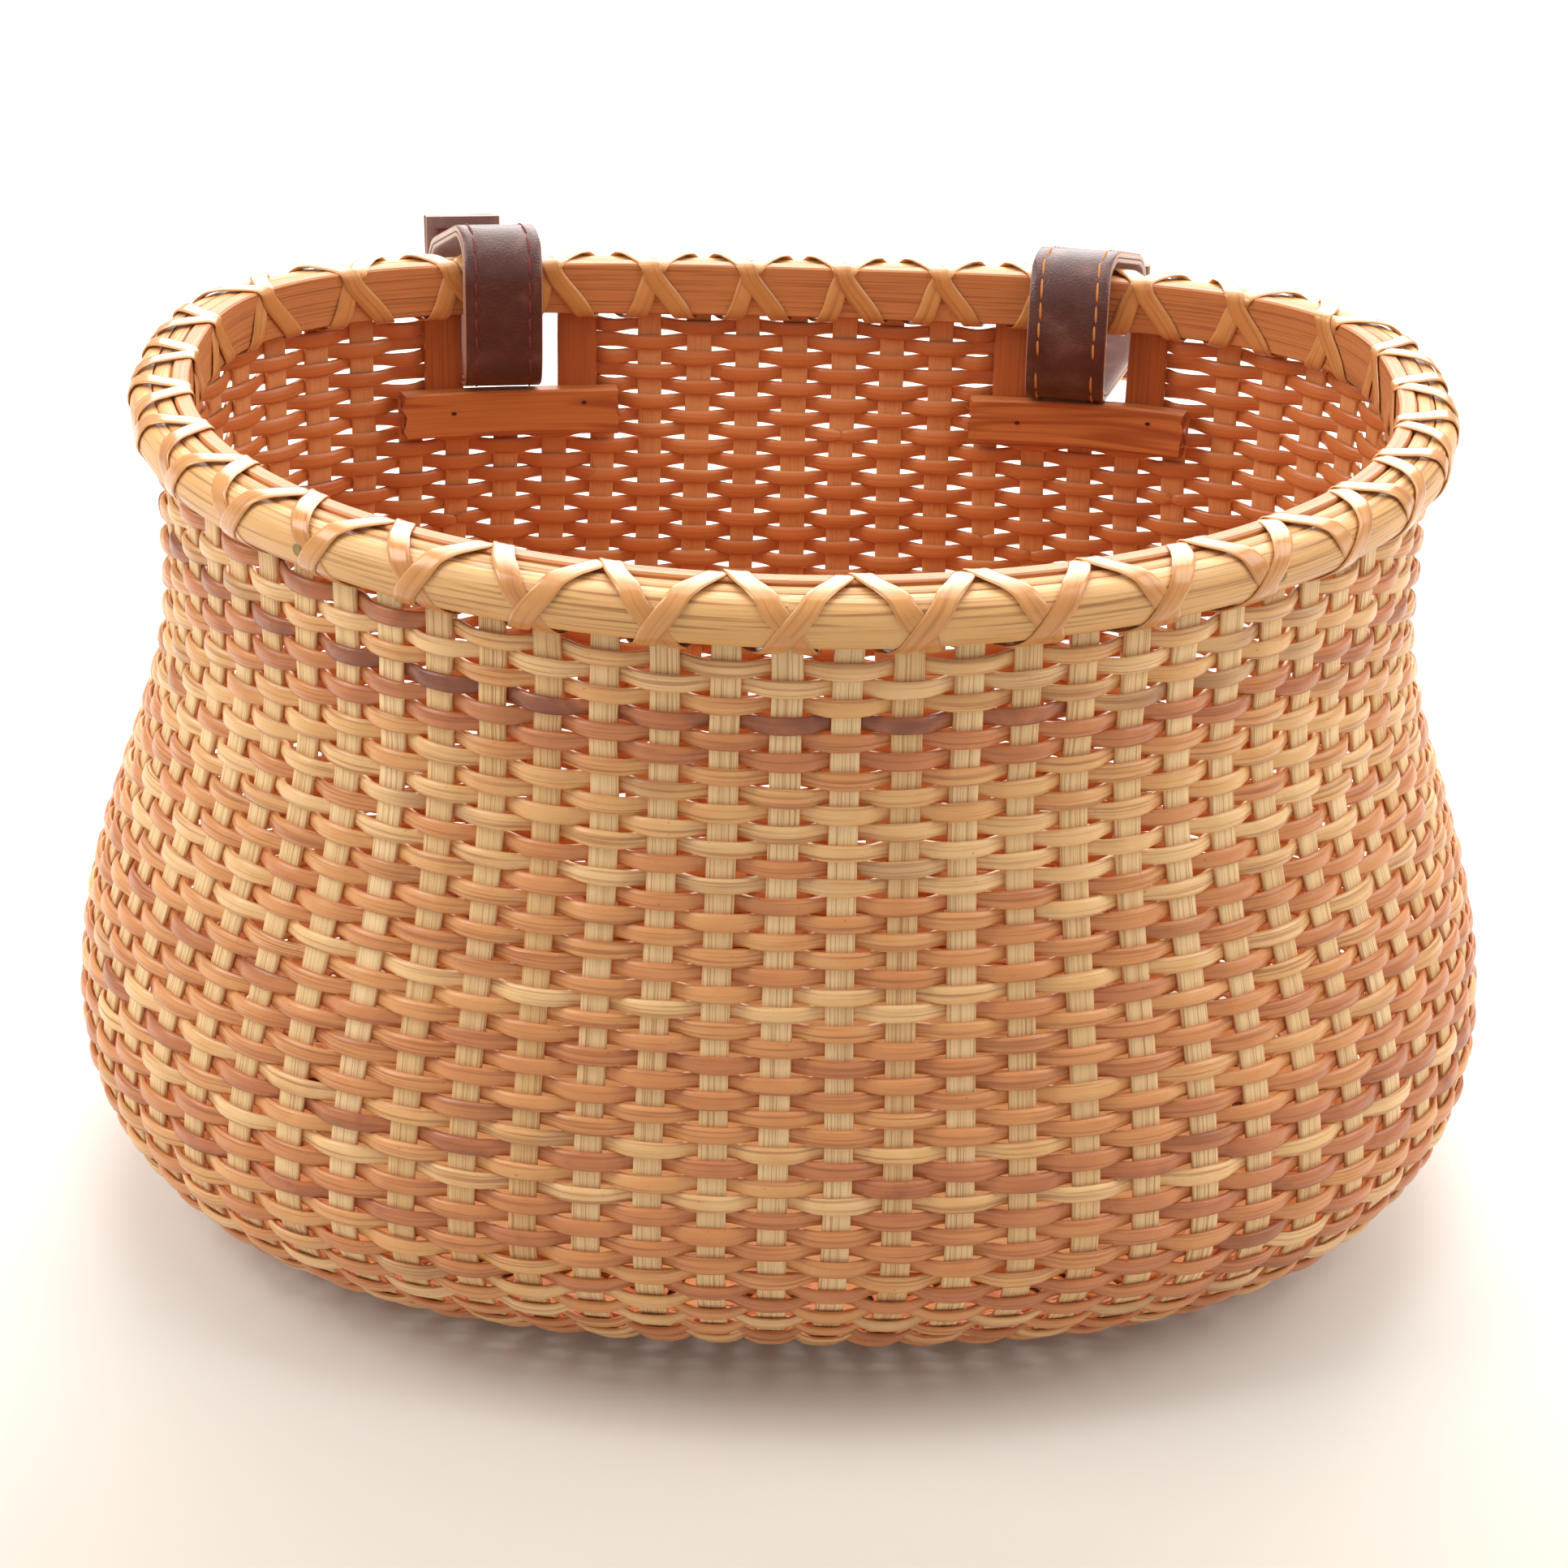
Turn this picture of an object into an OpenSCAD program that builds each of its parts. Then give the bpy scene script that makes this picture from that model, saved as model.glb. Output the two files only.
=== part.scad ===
// Woven wicker handlebar basket: D-shaped bowl of reed on flat staves, a lashed
// two-hoop rim, two strap slots in the back wall and two buckled leather straps.
// Origin: middle of the underside. +X right, +Y towards the handlebar, +Z up.

/* [Bowl] */
// Half width of the inner rim opening
rim_half_w = 143; // [130:1:160]
// Front depth of the inner rim opening, from its widest line
rim_front = 133; // [115:1:145]
// Back depth of the inner rim opening, from its widest line
rim_back = 78; // [70:1:90]
// How far the widest line lies behind the origin
widest_y = 27; // [15:1:35]
// Height of the rim's top face
rim_z = 202; // [180:1:220]
// Height at which the bowl is widest
belly_z = 50; // [40:1:70]
// Height at which the neck becomes straight
neck_z = 155; // [140:1:160]
// How far the belly stands out past the neck at the sides
belly_side = 24; // [10:1:35]
// How far the belly stands out past the neck at the front
belly_front = 9.5; // [4:0.5:20]
// How far the belly stands out past the neck at the back
belly_back = 7; // [3:0.5:15]
// Half width of the flat foot
foot_half_w = 119; // [100:1:125]
// Front depth of the flat foot, from the widest line
foot_front = 93; // [80:1:100]
// Back depth of the flat foot, from the widest line
foot_back = 64; // [55:1:70]

/* [Weave] */
// Thickness of the woven reed skin
skin_t = 3.2; // [2.4:0.1:4]
// Thickness of a stave
stave_t = 1.4; // [1:0.1:1.8]
// Width of a stave
stave_w = 6.4; // [4:0.2:8]
// Number of staves round the bowl
stave_count = 68; // [48:4:72]
// Thickness of the base board
board_t = 6.5; // [6:0.5:9]
// How deep the stave ends sit in the board's groove
groove_depth = 6; // [4:0.5:8]

/* [Rim] */
// Thickness of the flat inner hoop
inner_hoop_t = 4; // [3:0.1:5]
// Height of the flat inner hoop
inner_hoop_h = 13.5; // [12:0.5:16]
// Thickness of the half-round outer hoop
outer_hoop_t = 5.2; // [4:0.1:6]
// Height of the half-round outer hoop
outer_hoop_h = 11; // [9:0.5:12]
// Width of the lashing cane
lash_w = 4.8; // [3.5:0.1:6]
// Thickness of the lashing cane
lash_t = 0.8; // [0.6:0.1:1]
// Number of turns of each lashing cane round the rim
lash_turns = 32; // [24:1:34]
// Radius of a rim nail's head
nail_r = 1.4; // [1:0.1:2]

/* [Strap slots] */
// Distance of each slot's middle from the basket's middle
slot_x = 74; // [60:1:80]
// Clear width of a slot
slot_w = 27; // [25:0.5:30]
// Clear height of a slot
slot_h = 20.5; // [19:0.5:22]
// Width of the posts beside a slot
post_w = 10.2; // [8:0.2:12]
// Thickness of the posts
post_t = 3.2; // [2.5:0.1:3.5]
// Length of a crossbar
bar_w = 59; // [50:1:62]
// Height of a crossbar
bar_h = 12.4; // [10:0.2:14]
// Thickness of a crossbar
bar_t = 4.6; // [3:0.1:5]
// Radius of a crossbar brad's head
brad_r = 1.1; // [0.8:0.1:1.5]

/* [Straps] */
// Width of a strap
strap_w = 20; // [18:0.5:23]
// Thickness of the outer leather
leather_t = 1.7; // [1.2:0.1:2]
// Thickness of the inner leather
lining_t = 1.3; // [1:0.1:1.6]
// Radius of the handlebar that the loop closes round
handlebar_r = 12.7; // [11.1:0.1:12.7]
// Height of the tail's end
tail_top_z = 206; // [200:1:212]
// Length of one stitch
stitch_len = 4.2; // [3:0.1:5]
// Radius of the buckle's wire
wire_r = 1.3; // [1:0.1:1.5]
// Inside width of the buckle
buckle_in_w = 22.5; // [21:0.5:27]
// Distance between the buckle's heel bar and its front bar
buckle_len = 19; // [17:0.5:21]

/* [Hidden] */
loop_steps = 96;
back_exp = 3.2;
front_exp_foot = 2.7;
front_exp_rim = 2.0;
wrap_t = skin_t + stave_t;
hoop_gap = inner_hoop_t + wrap_t;
skin_top_z = rim_z - 12;
stave_top_z = rim_z - 4;
slot_top_z = rim_z - inner_hoop_h;
slot_floor_z = slot_top_z - slot_h;
outer_hoop_z = rim_z - 1 - outer_hoop_h;
filler_z = rim_z - 9;
gap = 0.05;
cut_over = 1;
slot_turn = rim_turn(slot_x);
slot_y = widest_y + rim_back * pow(1 - pow(slot_x / rim_half_w, back_exp), 1 / back_exp);
strap_t = leather_t + lining_t;
// strap loop seen from the side: [distance behind the rim's inner face, height]
bend_top_r = 9;
bend_low_r = 7;
front_face = -3.2;
loop_top_z = rim_z + 6;
loop_low_z = slot_floor_z + 4.7;
bend_top = [front_face + bend_top_r, loop_top_z - bend_top_r];
bend_low = [front_face + bend_low_r, loop_low_z + bend_low_r];
bar_axis = [31.5, 184];
heel_turn = -14;
heel = bar_axis + (handlebar_r + strap_t) * [cos(heel_turn), sin(heel_turn)];
frame_turn = -123;
front_bar = heel + buckle_len * [cos(frame_turn), sin(frame_turn)];
tail_in = bar_axis[0] + handlebar_r + strap_t;
prong_slot_w = 3.4;
prong_r = 1;
eye_r = wire_r + 1.2;
rivet_turn = -62;
rivet_r = 1.2;
rivet_head_r = 2.6;
rivet_head_t = 0.7;

// ---- plan curve -------------------------------------------------------------

// Angle by which the rim's outward normal leans from +Y at a distance x from the middle.
function rim_turn(x) = atan(
  rim_back / rim_half_w * pow(x / rim_half_w, back_exp - 1)
  * pow(1 - pow(x / rim_half_w, back_exp), 1 / back_exp - 1));

// Point of a D curve at a polar angle from the front, for its three half sizes.
function d_radius(turn, side, depth, power) =
  1 / pow(pow(abs(sin(turn)) / side, power) + pow(abs(cos(turn)) / depth, power), 1 / power);
function d_point(turn, side, front, back, front_exp) =
  let (
    ahead = cos(turn) > 0,
    r = d_radius(turn, side, ahead ? front : back, ahead ? front_exp : back_exp)
  )
  [r * sin(turn), widest_y - r * cos(turn)];

// Point of the rim's curve, moved outwards.
function rim_point(turn, out) =
  d_point(turn, rim_half_w + out, rim_front + out, rim_back + out, front_exp_rim);

// Polar angle for a share of the rim's length, so that pieces are evenly spaced.
arc_out = hoop_gap;
arc_table = [
  for (i = 0, s = 0; i <= 360; s = s + norm(rim_point(i + 1, arc_out) - rim_point(i, arc_out)), i = i + 1)
    [s, i]
];
arc_len = arc_table[360][0];
function turn_at(share) = lookup((share - floor(share)) * arc_len, arc_table) + 360 * floor(share);

// ---- wall profile -----------------------------------------------------------

// The wall is walked by a station: 0 foot, 1 belly, 2 start of the neck, 3 top.
function reach(station, foot, belly, neck) =
  station < 0 ? foot + station * groove_depth :
  station < 1 ? foot + (belly - foot) * sin(90 * station) :
  station < 2 ? neck + (belly - neck) * (1 + cos(180 * (station - 1))) / 2 :
  neck;
function station_z(station, top) =
  station < 0 ? 0 :
  station < 1 ? belly_z * (1 - cos(90 * station)) :
  station < 2 ? belly_z + (neck_z - belly_z) * (station - 1) :
  neck_z + (top - neck_z) * (station - 2);
function lean(station) = station < 1 ? 90 * max(0, station) : 90;
function wall_exp(station) =
  front_exp_rim + (front_exp_foot - front_exp_rim) * max(0, 1 - max(0, station) / 2);
function wall_point(turn, station, depth, top) =
  let (
    inset = depth * sin(lean(station)),
    side_neck = rim_half_w + hoop_gap,
    front_neck = rim_front + hoop_gap,
    back_neck = rim_back + hoop_gap,
    p = d_point(turn,
      reach(station, foot_half_w, side_neck + belly_side, side_neck) - inset,
      reach(station, foot_front, front_neck + belly_front, front_neck) - inset,
      reach(station, foot_back, back_neck + belly_back, back_neck) - inset,
      wall_exp(station))
  )
  [p[0], p[1], station_z(station, top) + depth * cos(lean(station))];

// ---- helpers ----------------------------------------------------------------

// Closed ring from a list of rows, each row a closed list of points.
module closed_ring(rows) {
  n = len(rows);
  m = len(rows[0]);
  points = [for (row = rows) for (p = row) p];
  faces = [
    for (i = [0 : n - 1])
      for (j = [0 : m - 1])
        let (
          a = i * m + j,
          b = i * m + (j + 1) % m,
          c = ((i + 1) % n) * m + (j + 1) % m,
          d = ((i + 1) % n) * m + j
        )
        each [[a, b, c], [a, c, d]]
  ];
  polyhedron(points, faces);
}

// Open strip with end caps from a list of four-point rows.
module capped_strip(rows) {
  n = len(rows);
  points = [for (row = rows) for (p = row) p];
  sides = [
    for (i = [0 : n - 2])
      for (j = [0 : 3])
        let (a = i * 4 + j, b = i * 4 + (j + 1) % 4, c = b + 4, d = a + 4)
        each [[a, b, c], [a, c, d]]
  ];
  last = (n - 1) * 4;
  ends = [[2, 1, 0], [3, 2, 0], [last, last + 1, last + 2], [last, last + 2, last + 3]];
  polyhedron(points, concat(sides, ends));
}

// Slice of the woven skin between two stations.
module skin_band(from, to, steps, top) {
  rows = [
    for (i = [0 : loop_steps - 1])
      let (turn = 360 * i / loop_steps)
      [
        for (k = [0 : steps]) wall_point(turn, from + (to - from) * k / steps, 0, top),
        for (k = [steps : -1 : 0]) wall_point(turn, from + (to - from) * k / steps, skin_t, top)
      ]
  ];
  closed_ring(rows);
}

// Flat ring that follows the rim between two distances out from its inner face.
module rim_band(out_from, out_to, z_from, z_to) {
  translate([0, 0, z_from])
    linear_extrude(z_to - z_from)
      difference() {
        polygon([for (i = [0 : loop_steps - 1]) rim_point(360 * i / loop_steps, out_to)]);
        polygon([for (i = [0 : loop_steps - 1]) rim_point(360 * i / loop_steps, out_from)]);
      }
}

// Places children on the rim: x along the rim, y outwards, origin on the inner face.
module at_rim(share) {
  turn = turn_at(share);
  here = rim_point(turn, 0);
  ahead = rim_point(turn + 0.5, 0) - rim_point(turn - 0.5, 0);
  translate([here[0], here[1], 0])
    rotate([0, 0, atan2(ahead[1], ahead[0])])
      mirror([0, 1, 0])
        children();
}

// Places children at a slot: x along the rim, y outwards, origin on the inner face.
module at_slot(side) {
  translate([side * slot_x, slot_y, 0])
    rotate([0, 0, -side * slot_turn])
      children();
}

// Block in a slot's frame: centre along the rim, width, reach outwards and heights.
module slot_block(side, centre, width, out_from, out_to, z_from, z_to) {
  at_slot(side)
    translate([centre - width / 2, out_from, z_from])
      cube([width, out_to - out_from, z_to - z_from]);
}

// ---- base and wall ----------------------------------------------------------

module board_outline(inset) {
  polygon([
    for (i = [0 : loop_steps - 1])
      d_point(360 * i / loop_steps, foot_half_w - inset, foot_front - inset, foot_back - inset,
        front_exp_foot)
  ]);
}

module base_board() {
  color("BurlyWood")
    difference() {
      linear_extrude(board_t)
        board_outline(gap);
      translate([0, 0, skin_t - gap])
        linear_extrude(stave_t + 2 * gap)
          difference() {
            board_outline(-cut_over);
            board_outline(groove_depth + gap);
          }
    }
}

// True when a stave would run up through one of the strap slots.
function under_slot(turn) =
  let (p = rim_point(turn, hoop_gap))
  p[1] > widest_y && abs(abs(p[0]) - slot_x) < slot_w / 2 + post_w + stave_w / 2 + 1;

module stave(share) {
  turn = turn_at(share);
  half = turn_at(share + stave_w / 2 / arc_len) - turn;
  top = under_slot(turn) ? slot_floor_z - bar_h : stave_top_z;
  stations = [-1, 0, 0.2, 0.4, 0.6, 0.8, 1, 1.25, 1.5, 1.75, 2, 3];
  rows = [
    for (s = stations)
      [
        wall_point(turn - half, s, skin_t, top),
        wall_point(turn + half, s, skin_t, top),
        wall_point(turn + half, s, wrap_t, top),
        wall_point(turn - half, s, wrap_t, top)
      ]
  ];
  color("Wheat")
    capped_strip(rows);
}

// Staves of one quarter: 0 front, 1 right, 2 back, 3 left.
module stave_quarter(quarter) {
  per = stave_count / 4;
  for (i = [0 : per - 1])
    stave((quarter * per + i - per / 2 + 0.5) / stave_count + 1);
}

module staves_front() { stave_quarter(0); }
module staves_right() { stave_quarter(1); }
module staves_back() { stave_quarter(2); }
module staves_left() { stave_quarter(3); }

module weave_foot() {
  color("Peru")
    skin_band(0, 0.6, 4, skin_top_z);
}

module weave_belly() {
  color("SandyBrown")
    skin_band(0.6, 1.25, 4, skin_top_z);
}

module weave_shoulder() {
  color("Peru")
    skin_band(1.25, 2, 3, skin_top_z);
}

module weave_neck() {
  color("SandyBrown")
    difference() {
      skin_band(2, 3, 1, skin_top_z);
      for (side = [-1, 1]) {
        slot_block(side, 0, slot_w, -cut_over, hoop_gap + 4, slot_floor_z, rim_z);
        for (end = [-1, 1])
          slot_block(side, end * (slot_w + post_w) / 2, post_w + 2 * gap, -cut_over, hoop_gap + 4,
            slot_floor_z - bar_h, rim_z);
      }
    }
}

// ---- rim --------------------------------------------------------------------

module rim_hoop_inner() {
  color("Chocolate")
    rim_band(0, inner_hoop_t, slot_top_z, rim_z);
}

module rim_hoop_outer() {
  half = outer_hoop_h / 2;
  mid = outer_hoop_z + half;
  arc = [for (k = [-2 : 2]) [outer_hoop_t * (0.45 + 0.55 * cos(36 * k)), half * sin(45 * k) ]];
  profile = concat([[0, -half], [0, half]], [for (k = [4 : -1 : 0]) arc[k] ]);
  rows = [
    for (i = [0 : loop_steps - 1])
      let (turn = 360 * i / loop_steps)
      [
        for (p = profile)
          let (q = rim_point(turn, hoop_gap + p[0]))
          [q[0], q[1], mid + p[1]]
      ]
  ];
  color("Tan")
    closed_ring(rows);
}

module rim_filler() {
  color("BurlyWood")
    rim_band(inner_hoop_t + stave_t + gap, hoop_gap - gap, filler_z, rim_z - 1);
}

// One turn of cane: up the outside, over the top, down the inside and back through the wall.
module lash_turn(share, way) {
  pitch = arc_len / lash_turns;
  rise = inner_hoop_h + lash_t;
  run = pitch / 6;
  slope = atan(2 * run / rise);
  face_len = rise / cos(slope) + lash_w * sin(slope);
  mid_z = rim_z + lash_t - rise / 2 - lash_t / 2;
  out_face = hoop_gap + outer_hoop_t + gap;
  span = out_face + lash_t + 2 * gap + lash_t;
  step = run / arc_len;
  at_rim(share)
    translate([0, out_face + lash_t / 2, mid_z])
      rotate([0, way * slope, 0])
        cube([lash_w, lash_t, face_len], center = true);
  at_rim(share + way * step)
    translate([0, out_face / 2 - gap / 2, rim_z + gap + lash_t / 2])
      cube([lash_w, span, lash_t], center = true);
  at_rim(share + way * 2 * step)
    translate([0, -gap - lash_t / 2, mid_z])
      rotate([0, -way * slope, 0])
        cube([lash_w, lash_t, face_len], center = true);
  at_rim(share + way * 4 * step)
    translate([0, out_face / 2, rim_z - inner_hoop_h - lash_t])
      rotate([0, 0, way * atan(2 * run / out_face)])
        cube([lash_w, norm([span, 2 * run]), lash_t], center = true);
}

// True where a turn of cane would cross a strap.
function at_strap(share) =
  let (p = rim_point(turn_at(share), 0))
  p[1] > widest_y && abs(abs(p[0]) - slot_x) < strap_w / 2 + 2 * lash_w;

module rim_lashing() {
  color("Gold")
    for (i = [0 : lash_turns - 1])
      if (!at_strap((i + 0.33) / lash_turns))
        lash_turn(i / lash_turns, 1);
}

module rim_lashing_return() {
  color("Goldenrod")
    for (i = [0 : lash_turns - 1])
      if (!at_strap((i - 0.33) / lash_turns + 1))
        lash_turn((i + 0.01) / lash_turns + 1, -1);
}

module rim_nails() {
  color("Sienna")
    for (share = [-0.125, 0.125, 0.3, 0.5, 0.7])
      at_rim(share + 1)
        translate([0, inner_hoop_t / 2, outer_hoop_z + outer_hoop_h / 2])
          rotate([-90, 0, 0]) {
            cylinder(r = nail_r / 2, h = hoop_gap + outer_hoop_t - inner_hoop_t / 2, $fn = 24);
            translate([0, 0, hoop_gap + outer_hoop_t - inner_hoop_t / 2 - 0.3])
              cylinder(r = nail_r, h = 0.8, $fn = 24);
          }
}

// ---- strap slots ------------------------------------------------------------

module slot_post(side, end) {
  color("Sienna")
    intersection() {
      rim_band(inner_hoop_t + gap, inner_hoop_t + post_t, slot_floor_z - bar_h + gap, filler_z - gap);
      slot_block(side, end * (slot_w + post_w) / 2, post_w, -cut_over, hoop_gap + 4, 0, rim_z);
    }
}

module slot_crossbar(side) {
  color("Chocolate")
    intersection() {
      rim_band(inner_hoop_t - bar_t, inner_hoop_t, slot_floor_z - bar_h, slot_floor_z);
      slot_block(side, 0, bar_w, -2 * bar_t, hoop_gap, 0, rim_z);
    }
}

module slot_brads(side) {
  color("DimGray")
    for (end = [-1, 1])
      at_slot(side)
        translate([end * (slot_w + post_w) / 2, inner_hoop_t - bar_t - 1.6, slot_floor_z - bar_h * 0.3])
          rotate([-90, 0, 0]) {
            cylinder(r = brad_r / 2, h = bar_t + 2.4, $fn = 24);
            cylinder(r = brad_r, h = 0.6, $fn = 24);
          }
}

module slot_left_outer_post() { slot_post(-1, -1); }
module slot_left_inner_post() { slot_post(-1, 1); }
module slot_left_crossbar() { slot_crossbar(-1); }
module slot_left_brads() { slot_brads(-1); }
module slot_right_outer_post() { slot_post(1, 1); }
module slot_right_inner_post() { slot_post(1, -1); }
module slot_right_crossbar() { slot_crossbar(1); }
module slot_right_brads() { slot_brads(1); }

// ---- straps -----------------------------------------------------------------

// Normal angle of the straight run that joins two round bends, going anticlockwise.
function run_normal(a, ra, b, rb) =
  atan2(b[1] - a[1], b[0] - a[0]) - 90 + asin((ra - rb) / norm(b - a));

// Outline of the strap loop at a distance outside its inner face.
module loop_outline(grow) {
  centres = [bend_low, bar_axis, bend_top];
  radii = [bend_low_r + grow, handlebar_r + grow, bend_top_r + grow];
  polygon([
    for (i = [0 : 2])
      let (
        j = (i + 1) % 3,
        n = run_normal(centres[i], radii[i], centres[j], radii[j])
      )
      each [
        centres[i] + radii[i] * [cos(n), sin(n)],
        centres[j] + radii[j] * [cos(n), sin(n)]
      ]
  ]);
  for (i = [0 : 2])
    translate(centres[i])
      circle(r = radii[i], $fn = 96);
}

// Lifts a side view (distance out, height) to a solid of the given width on a slot's frame.
module strap_solid(side, width, shift = 0) {
  at_slot(side)
    translate([shift - width / 2, 0, 0])
      rotate([90, 0, 90])
        linear_extrude(width)
          children();
}

// Room that the buckle's heel bar, the prong and its travel need in the leather.
module heel_room(side) {
  strap_solid(side, strap_w + 2 * cut_over)
    translate(heel)
      circle(r = wire_r + gap, $fn = 48);
  strap_solid(side, prong_slot_w) {
    translate(heel)
      circle(r = eye_r + 0.4, $fn = 48);
    polygon([
      heel + [-1.8, -0.5],
      heel + [-1.2, 1.6],
      heel + [8, 2],
      heel + [8, -10],
      heel + [0.9, -9.5],
      heel + [0.9, -7.6]
    ]);
  }
}

module rivet(side, grow = 0) {
  at_slot(side)
    translate([0, bar_axis[0], bar_axis[1]])
      rotate([rivet_turn, 0, 0])
        translate([0, handlebar_r, 0])
          rotate([-90, 0, 0]) {
            cylinder(r = rivet_r, h = strap_t, $fn = 32);
            cylinder(r = rivet_head_r, h = rivet_head_t, $fn = 32);
            translate([0, 0, strap_t - rivet_head_t])
              cylinder(r = rivet_head_r, h = rivet_head_t, $fn = 32);
          }
}

// The tail leaves the loop low at the back and stands up behind it.
module tail_outline() {
  tail_low = -88;
  low = bar_axis + (handlebar_r + strap_t - 0.2) * [cos(tail_low), sin(tail_low)];
  intersection() {
    difference() {
      translate(bar_axis)
        circle(r = handlebar_r + 2 * strap_t, $fn = 96);
      translate(bar_axis)
        circle(r = handlebar_r + strap_t - 0.2, $fn = 96);
    }
    polygon([bar_axis, low + 9 * [cos(tail_low), sin(tail_low)], bar_axis + [30, -40], bar_axis + [40, 0]]);
  }
  translate([tail_in - 0.2, bar_axis[1]])
    square([strap_t + 0.2, tail_top_z - bar_axis[1]]);
}

module strap_leather(side) {
  color("SaddleBrown")
    difference() {
      strap_solid(side, strap_w) {
        difference() {
          loop_outline(strap_t);
          loop_outline(lining_t);
        }
        tail_outline();
      }
      heel_room(side);
      rivet(side);
    }
}

module strap_lining(side) {
  color("RosyBrown")
    difference() {
      strap_solid(side, strap_w)
        difference() {
          loop_outline(lining_t);
          loop_outline(0);
        }
      heel_room(side);
      rivet(side);
    }
}

// Two rows of stitches down the front run and a boxed row at the tail's end.
module strap_stitching(side) {
  rows = 7;
  edge = strap_w / 2 - 3.2;
  thread = 0.7;
  color("DarkOrange")
    at_slot(side) {
      for (end = [-1, 1])
        for (i = [0 : rows - 1])
          translate([end * edge, front_face - strap_t, bend_low[1] + 2 + i * (stitch_len + 0.5)])
            rotate([90, 0, 0])
              cylinder(r = thread / 2, h = 0.35, $fn = 16);
      for (i = [-1 : 1])
        translate([i * (stitch_len + 1) - stitch_len / 2, tail_in + strap_t, tail_top_z - 3.6])
          cube([stitch_len, 0.35, thread]);
    }
}

module buckle_frame(side) {
  side_r = wire_r * 0.85;
  half = buckle_in_w / 2 + side_r;
  bar_len = 2 * (half + wire_r);
  color("Silver")
    at_slot(side) {
      for (p = [heel, front_bar])
        translate([-bar_len / 2, p[0], p[1]])
          rotate([0, 90, 0])
            cylinder(r = wire_r, h = bar_len, $fn = 48);
      for (end = [-1, 1])
        translate([end * half, heel[0], heel[1]])
          rotate([frame_turn - 90, 0, 0])
            cylinder(r = side_r, h = buckle_len, $fn = 48);
    }
}

module buckle_prong(side) {
  reach_out = wire_r + prong_r + 0.2;
  along = [cos(frame_turn), sin(frame_turn)];
  aside = [-along[1], along[0]];
  tip = front_bar + aside * reach_out + along * 1.2;
  elbow = heel + aside * 6 + along * 4.4;
  start = heel + (wire_r + 0.6) * (elbow - heel) / norm(elbow - heel);
  color("Silver") {
    difference() {
      strap_solid(side, 2.2)
        translate(heel)
          circle(r = eye_r, $fn = 48);
      strap_solid(side, 4)
        translate(heel)
          circle(r = wire_r + gap, $fn = 48);
    }
    at_slot(side)
      {
        for (pair = [[start, elbow], [elbow, tip]])
          translate([0, pair[0][0], pair[0][1]])
            rotate([atan2(pair[1][1] - pair[0][1], pair[1][0] - pair[0][0]) - 90, 0, 0])
              cylinder(r = prong_r, h = norm(pair[1] - pair[0]), $fn = 32);
        for (p = [elbow, tip])
          translate([0, p[0], p[1]])
            sphere(r = prong_r, $fn = 32);
      }
  }
}

module strap_left_leather() { strap_leather(-1); }
module strap_left_lining() { strap_lining(-1); }
module strap_left_stitching() { strap_stitching(-1); }
module strap_left_rivet() { color("Peru") rivet(-1); }
module buckle_left_frame() { buckle_frame(-1); }
module buckle_left_prong() { buckle_prong(-1); }
module strap_right_leather() { strap_leather(1); }
module strap_right_lining() { strap_lining(1); }
module strap_right_stitching() { strap_stitching(1); }
module strap_right_rivet() { color("Peru") rivet(1); }
module buckle_right_frame() { buckle_frame(1); }
module buckle_right_prong() { buckle_prong(1); }

// ---- assembly ---------------------------------------------------------------

base_board();
staves_front();
staves_back();
staves_left();
staves_right();
weave_foot();
weave_belly();
weave_shoulder();
weave_neck();
rim_hoop_inner();
rim_hoop_outer();
rim_filler();
rim_lashing();
rim_lashing_return();
rim_nails();
slot_left_outer_post();
slot_left_inner_post();
slot_left_crossbar();
slot_left_brads();
slot_right_outer_post();
slot_right_inner_post();
slot_right_crossbar();
slot_right_brads();
strap_left_leather();
strap_left_lining();
strap_left_stitching();
strap_left_rivet();
buckle_left_frame();
buckle_left_prong();
strap_right_leather();
strap_right_lining();
strap_right_stitching();
strap_right_rivet();
buckle_right_frame();
buckle_right_prong();
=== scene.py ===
"""Looks of the wicker handlebar basket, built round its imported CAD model."""
import logging
import math
from dataclasses import dataclass, field
from enum import Enum

import bpy
import numpy as np
from mathutils import Matrix, Vector


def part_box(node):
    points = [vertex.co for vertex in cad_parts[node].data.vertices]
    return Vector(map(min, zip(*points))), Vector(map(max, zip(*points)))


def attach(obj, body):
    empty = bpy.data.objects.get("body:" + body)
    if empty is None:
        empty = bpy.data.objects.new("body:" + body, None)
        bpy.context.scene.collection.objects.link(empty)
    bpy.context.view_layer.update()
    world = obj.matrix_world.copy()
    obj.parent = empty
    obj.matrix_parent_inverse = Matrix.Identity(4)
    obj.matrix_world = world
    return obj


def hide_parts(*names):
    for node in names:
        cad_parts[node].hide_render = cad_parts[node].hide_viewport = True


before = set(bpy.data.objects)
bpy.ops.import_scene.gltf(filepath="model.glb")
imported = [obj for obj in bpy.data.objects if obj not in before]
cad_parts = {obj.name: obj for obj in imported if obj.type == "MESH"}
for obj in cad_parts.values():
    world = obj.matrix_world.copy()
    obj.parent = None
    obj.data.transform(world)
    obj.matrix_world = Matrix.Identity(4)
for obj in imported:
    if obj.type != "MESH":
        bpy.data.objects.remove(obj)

log = logging.getLogger("basket")
MM = 0.001
EYE_POWER = 2.2  # how the eye's even steps turn into light
TONE_SHIFT = 173.0  # moves each strip to its own part of a pattern
BACK_SHARES = np.linspace(0.3, 0.7, 1601)  # shares of the way round, along the back
Colour = tuple[float, float, float]


class Side(Enum):
    """The two strap slots, by the sign of their place across the basket."""

    LEFT = -1
    RIGHT = 1

    @property
    def word(self) -> str:
        """Name used in node and body names."""
        return self.name.lower()


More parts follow.
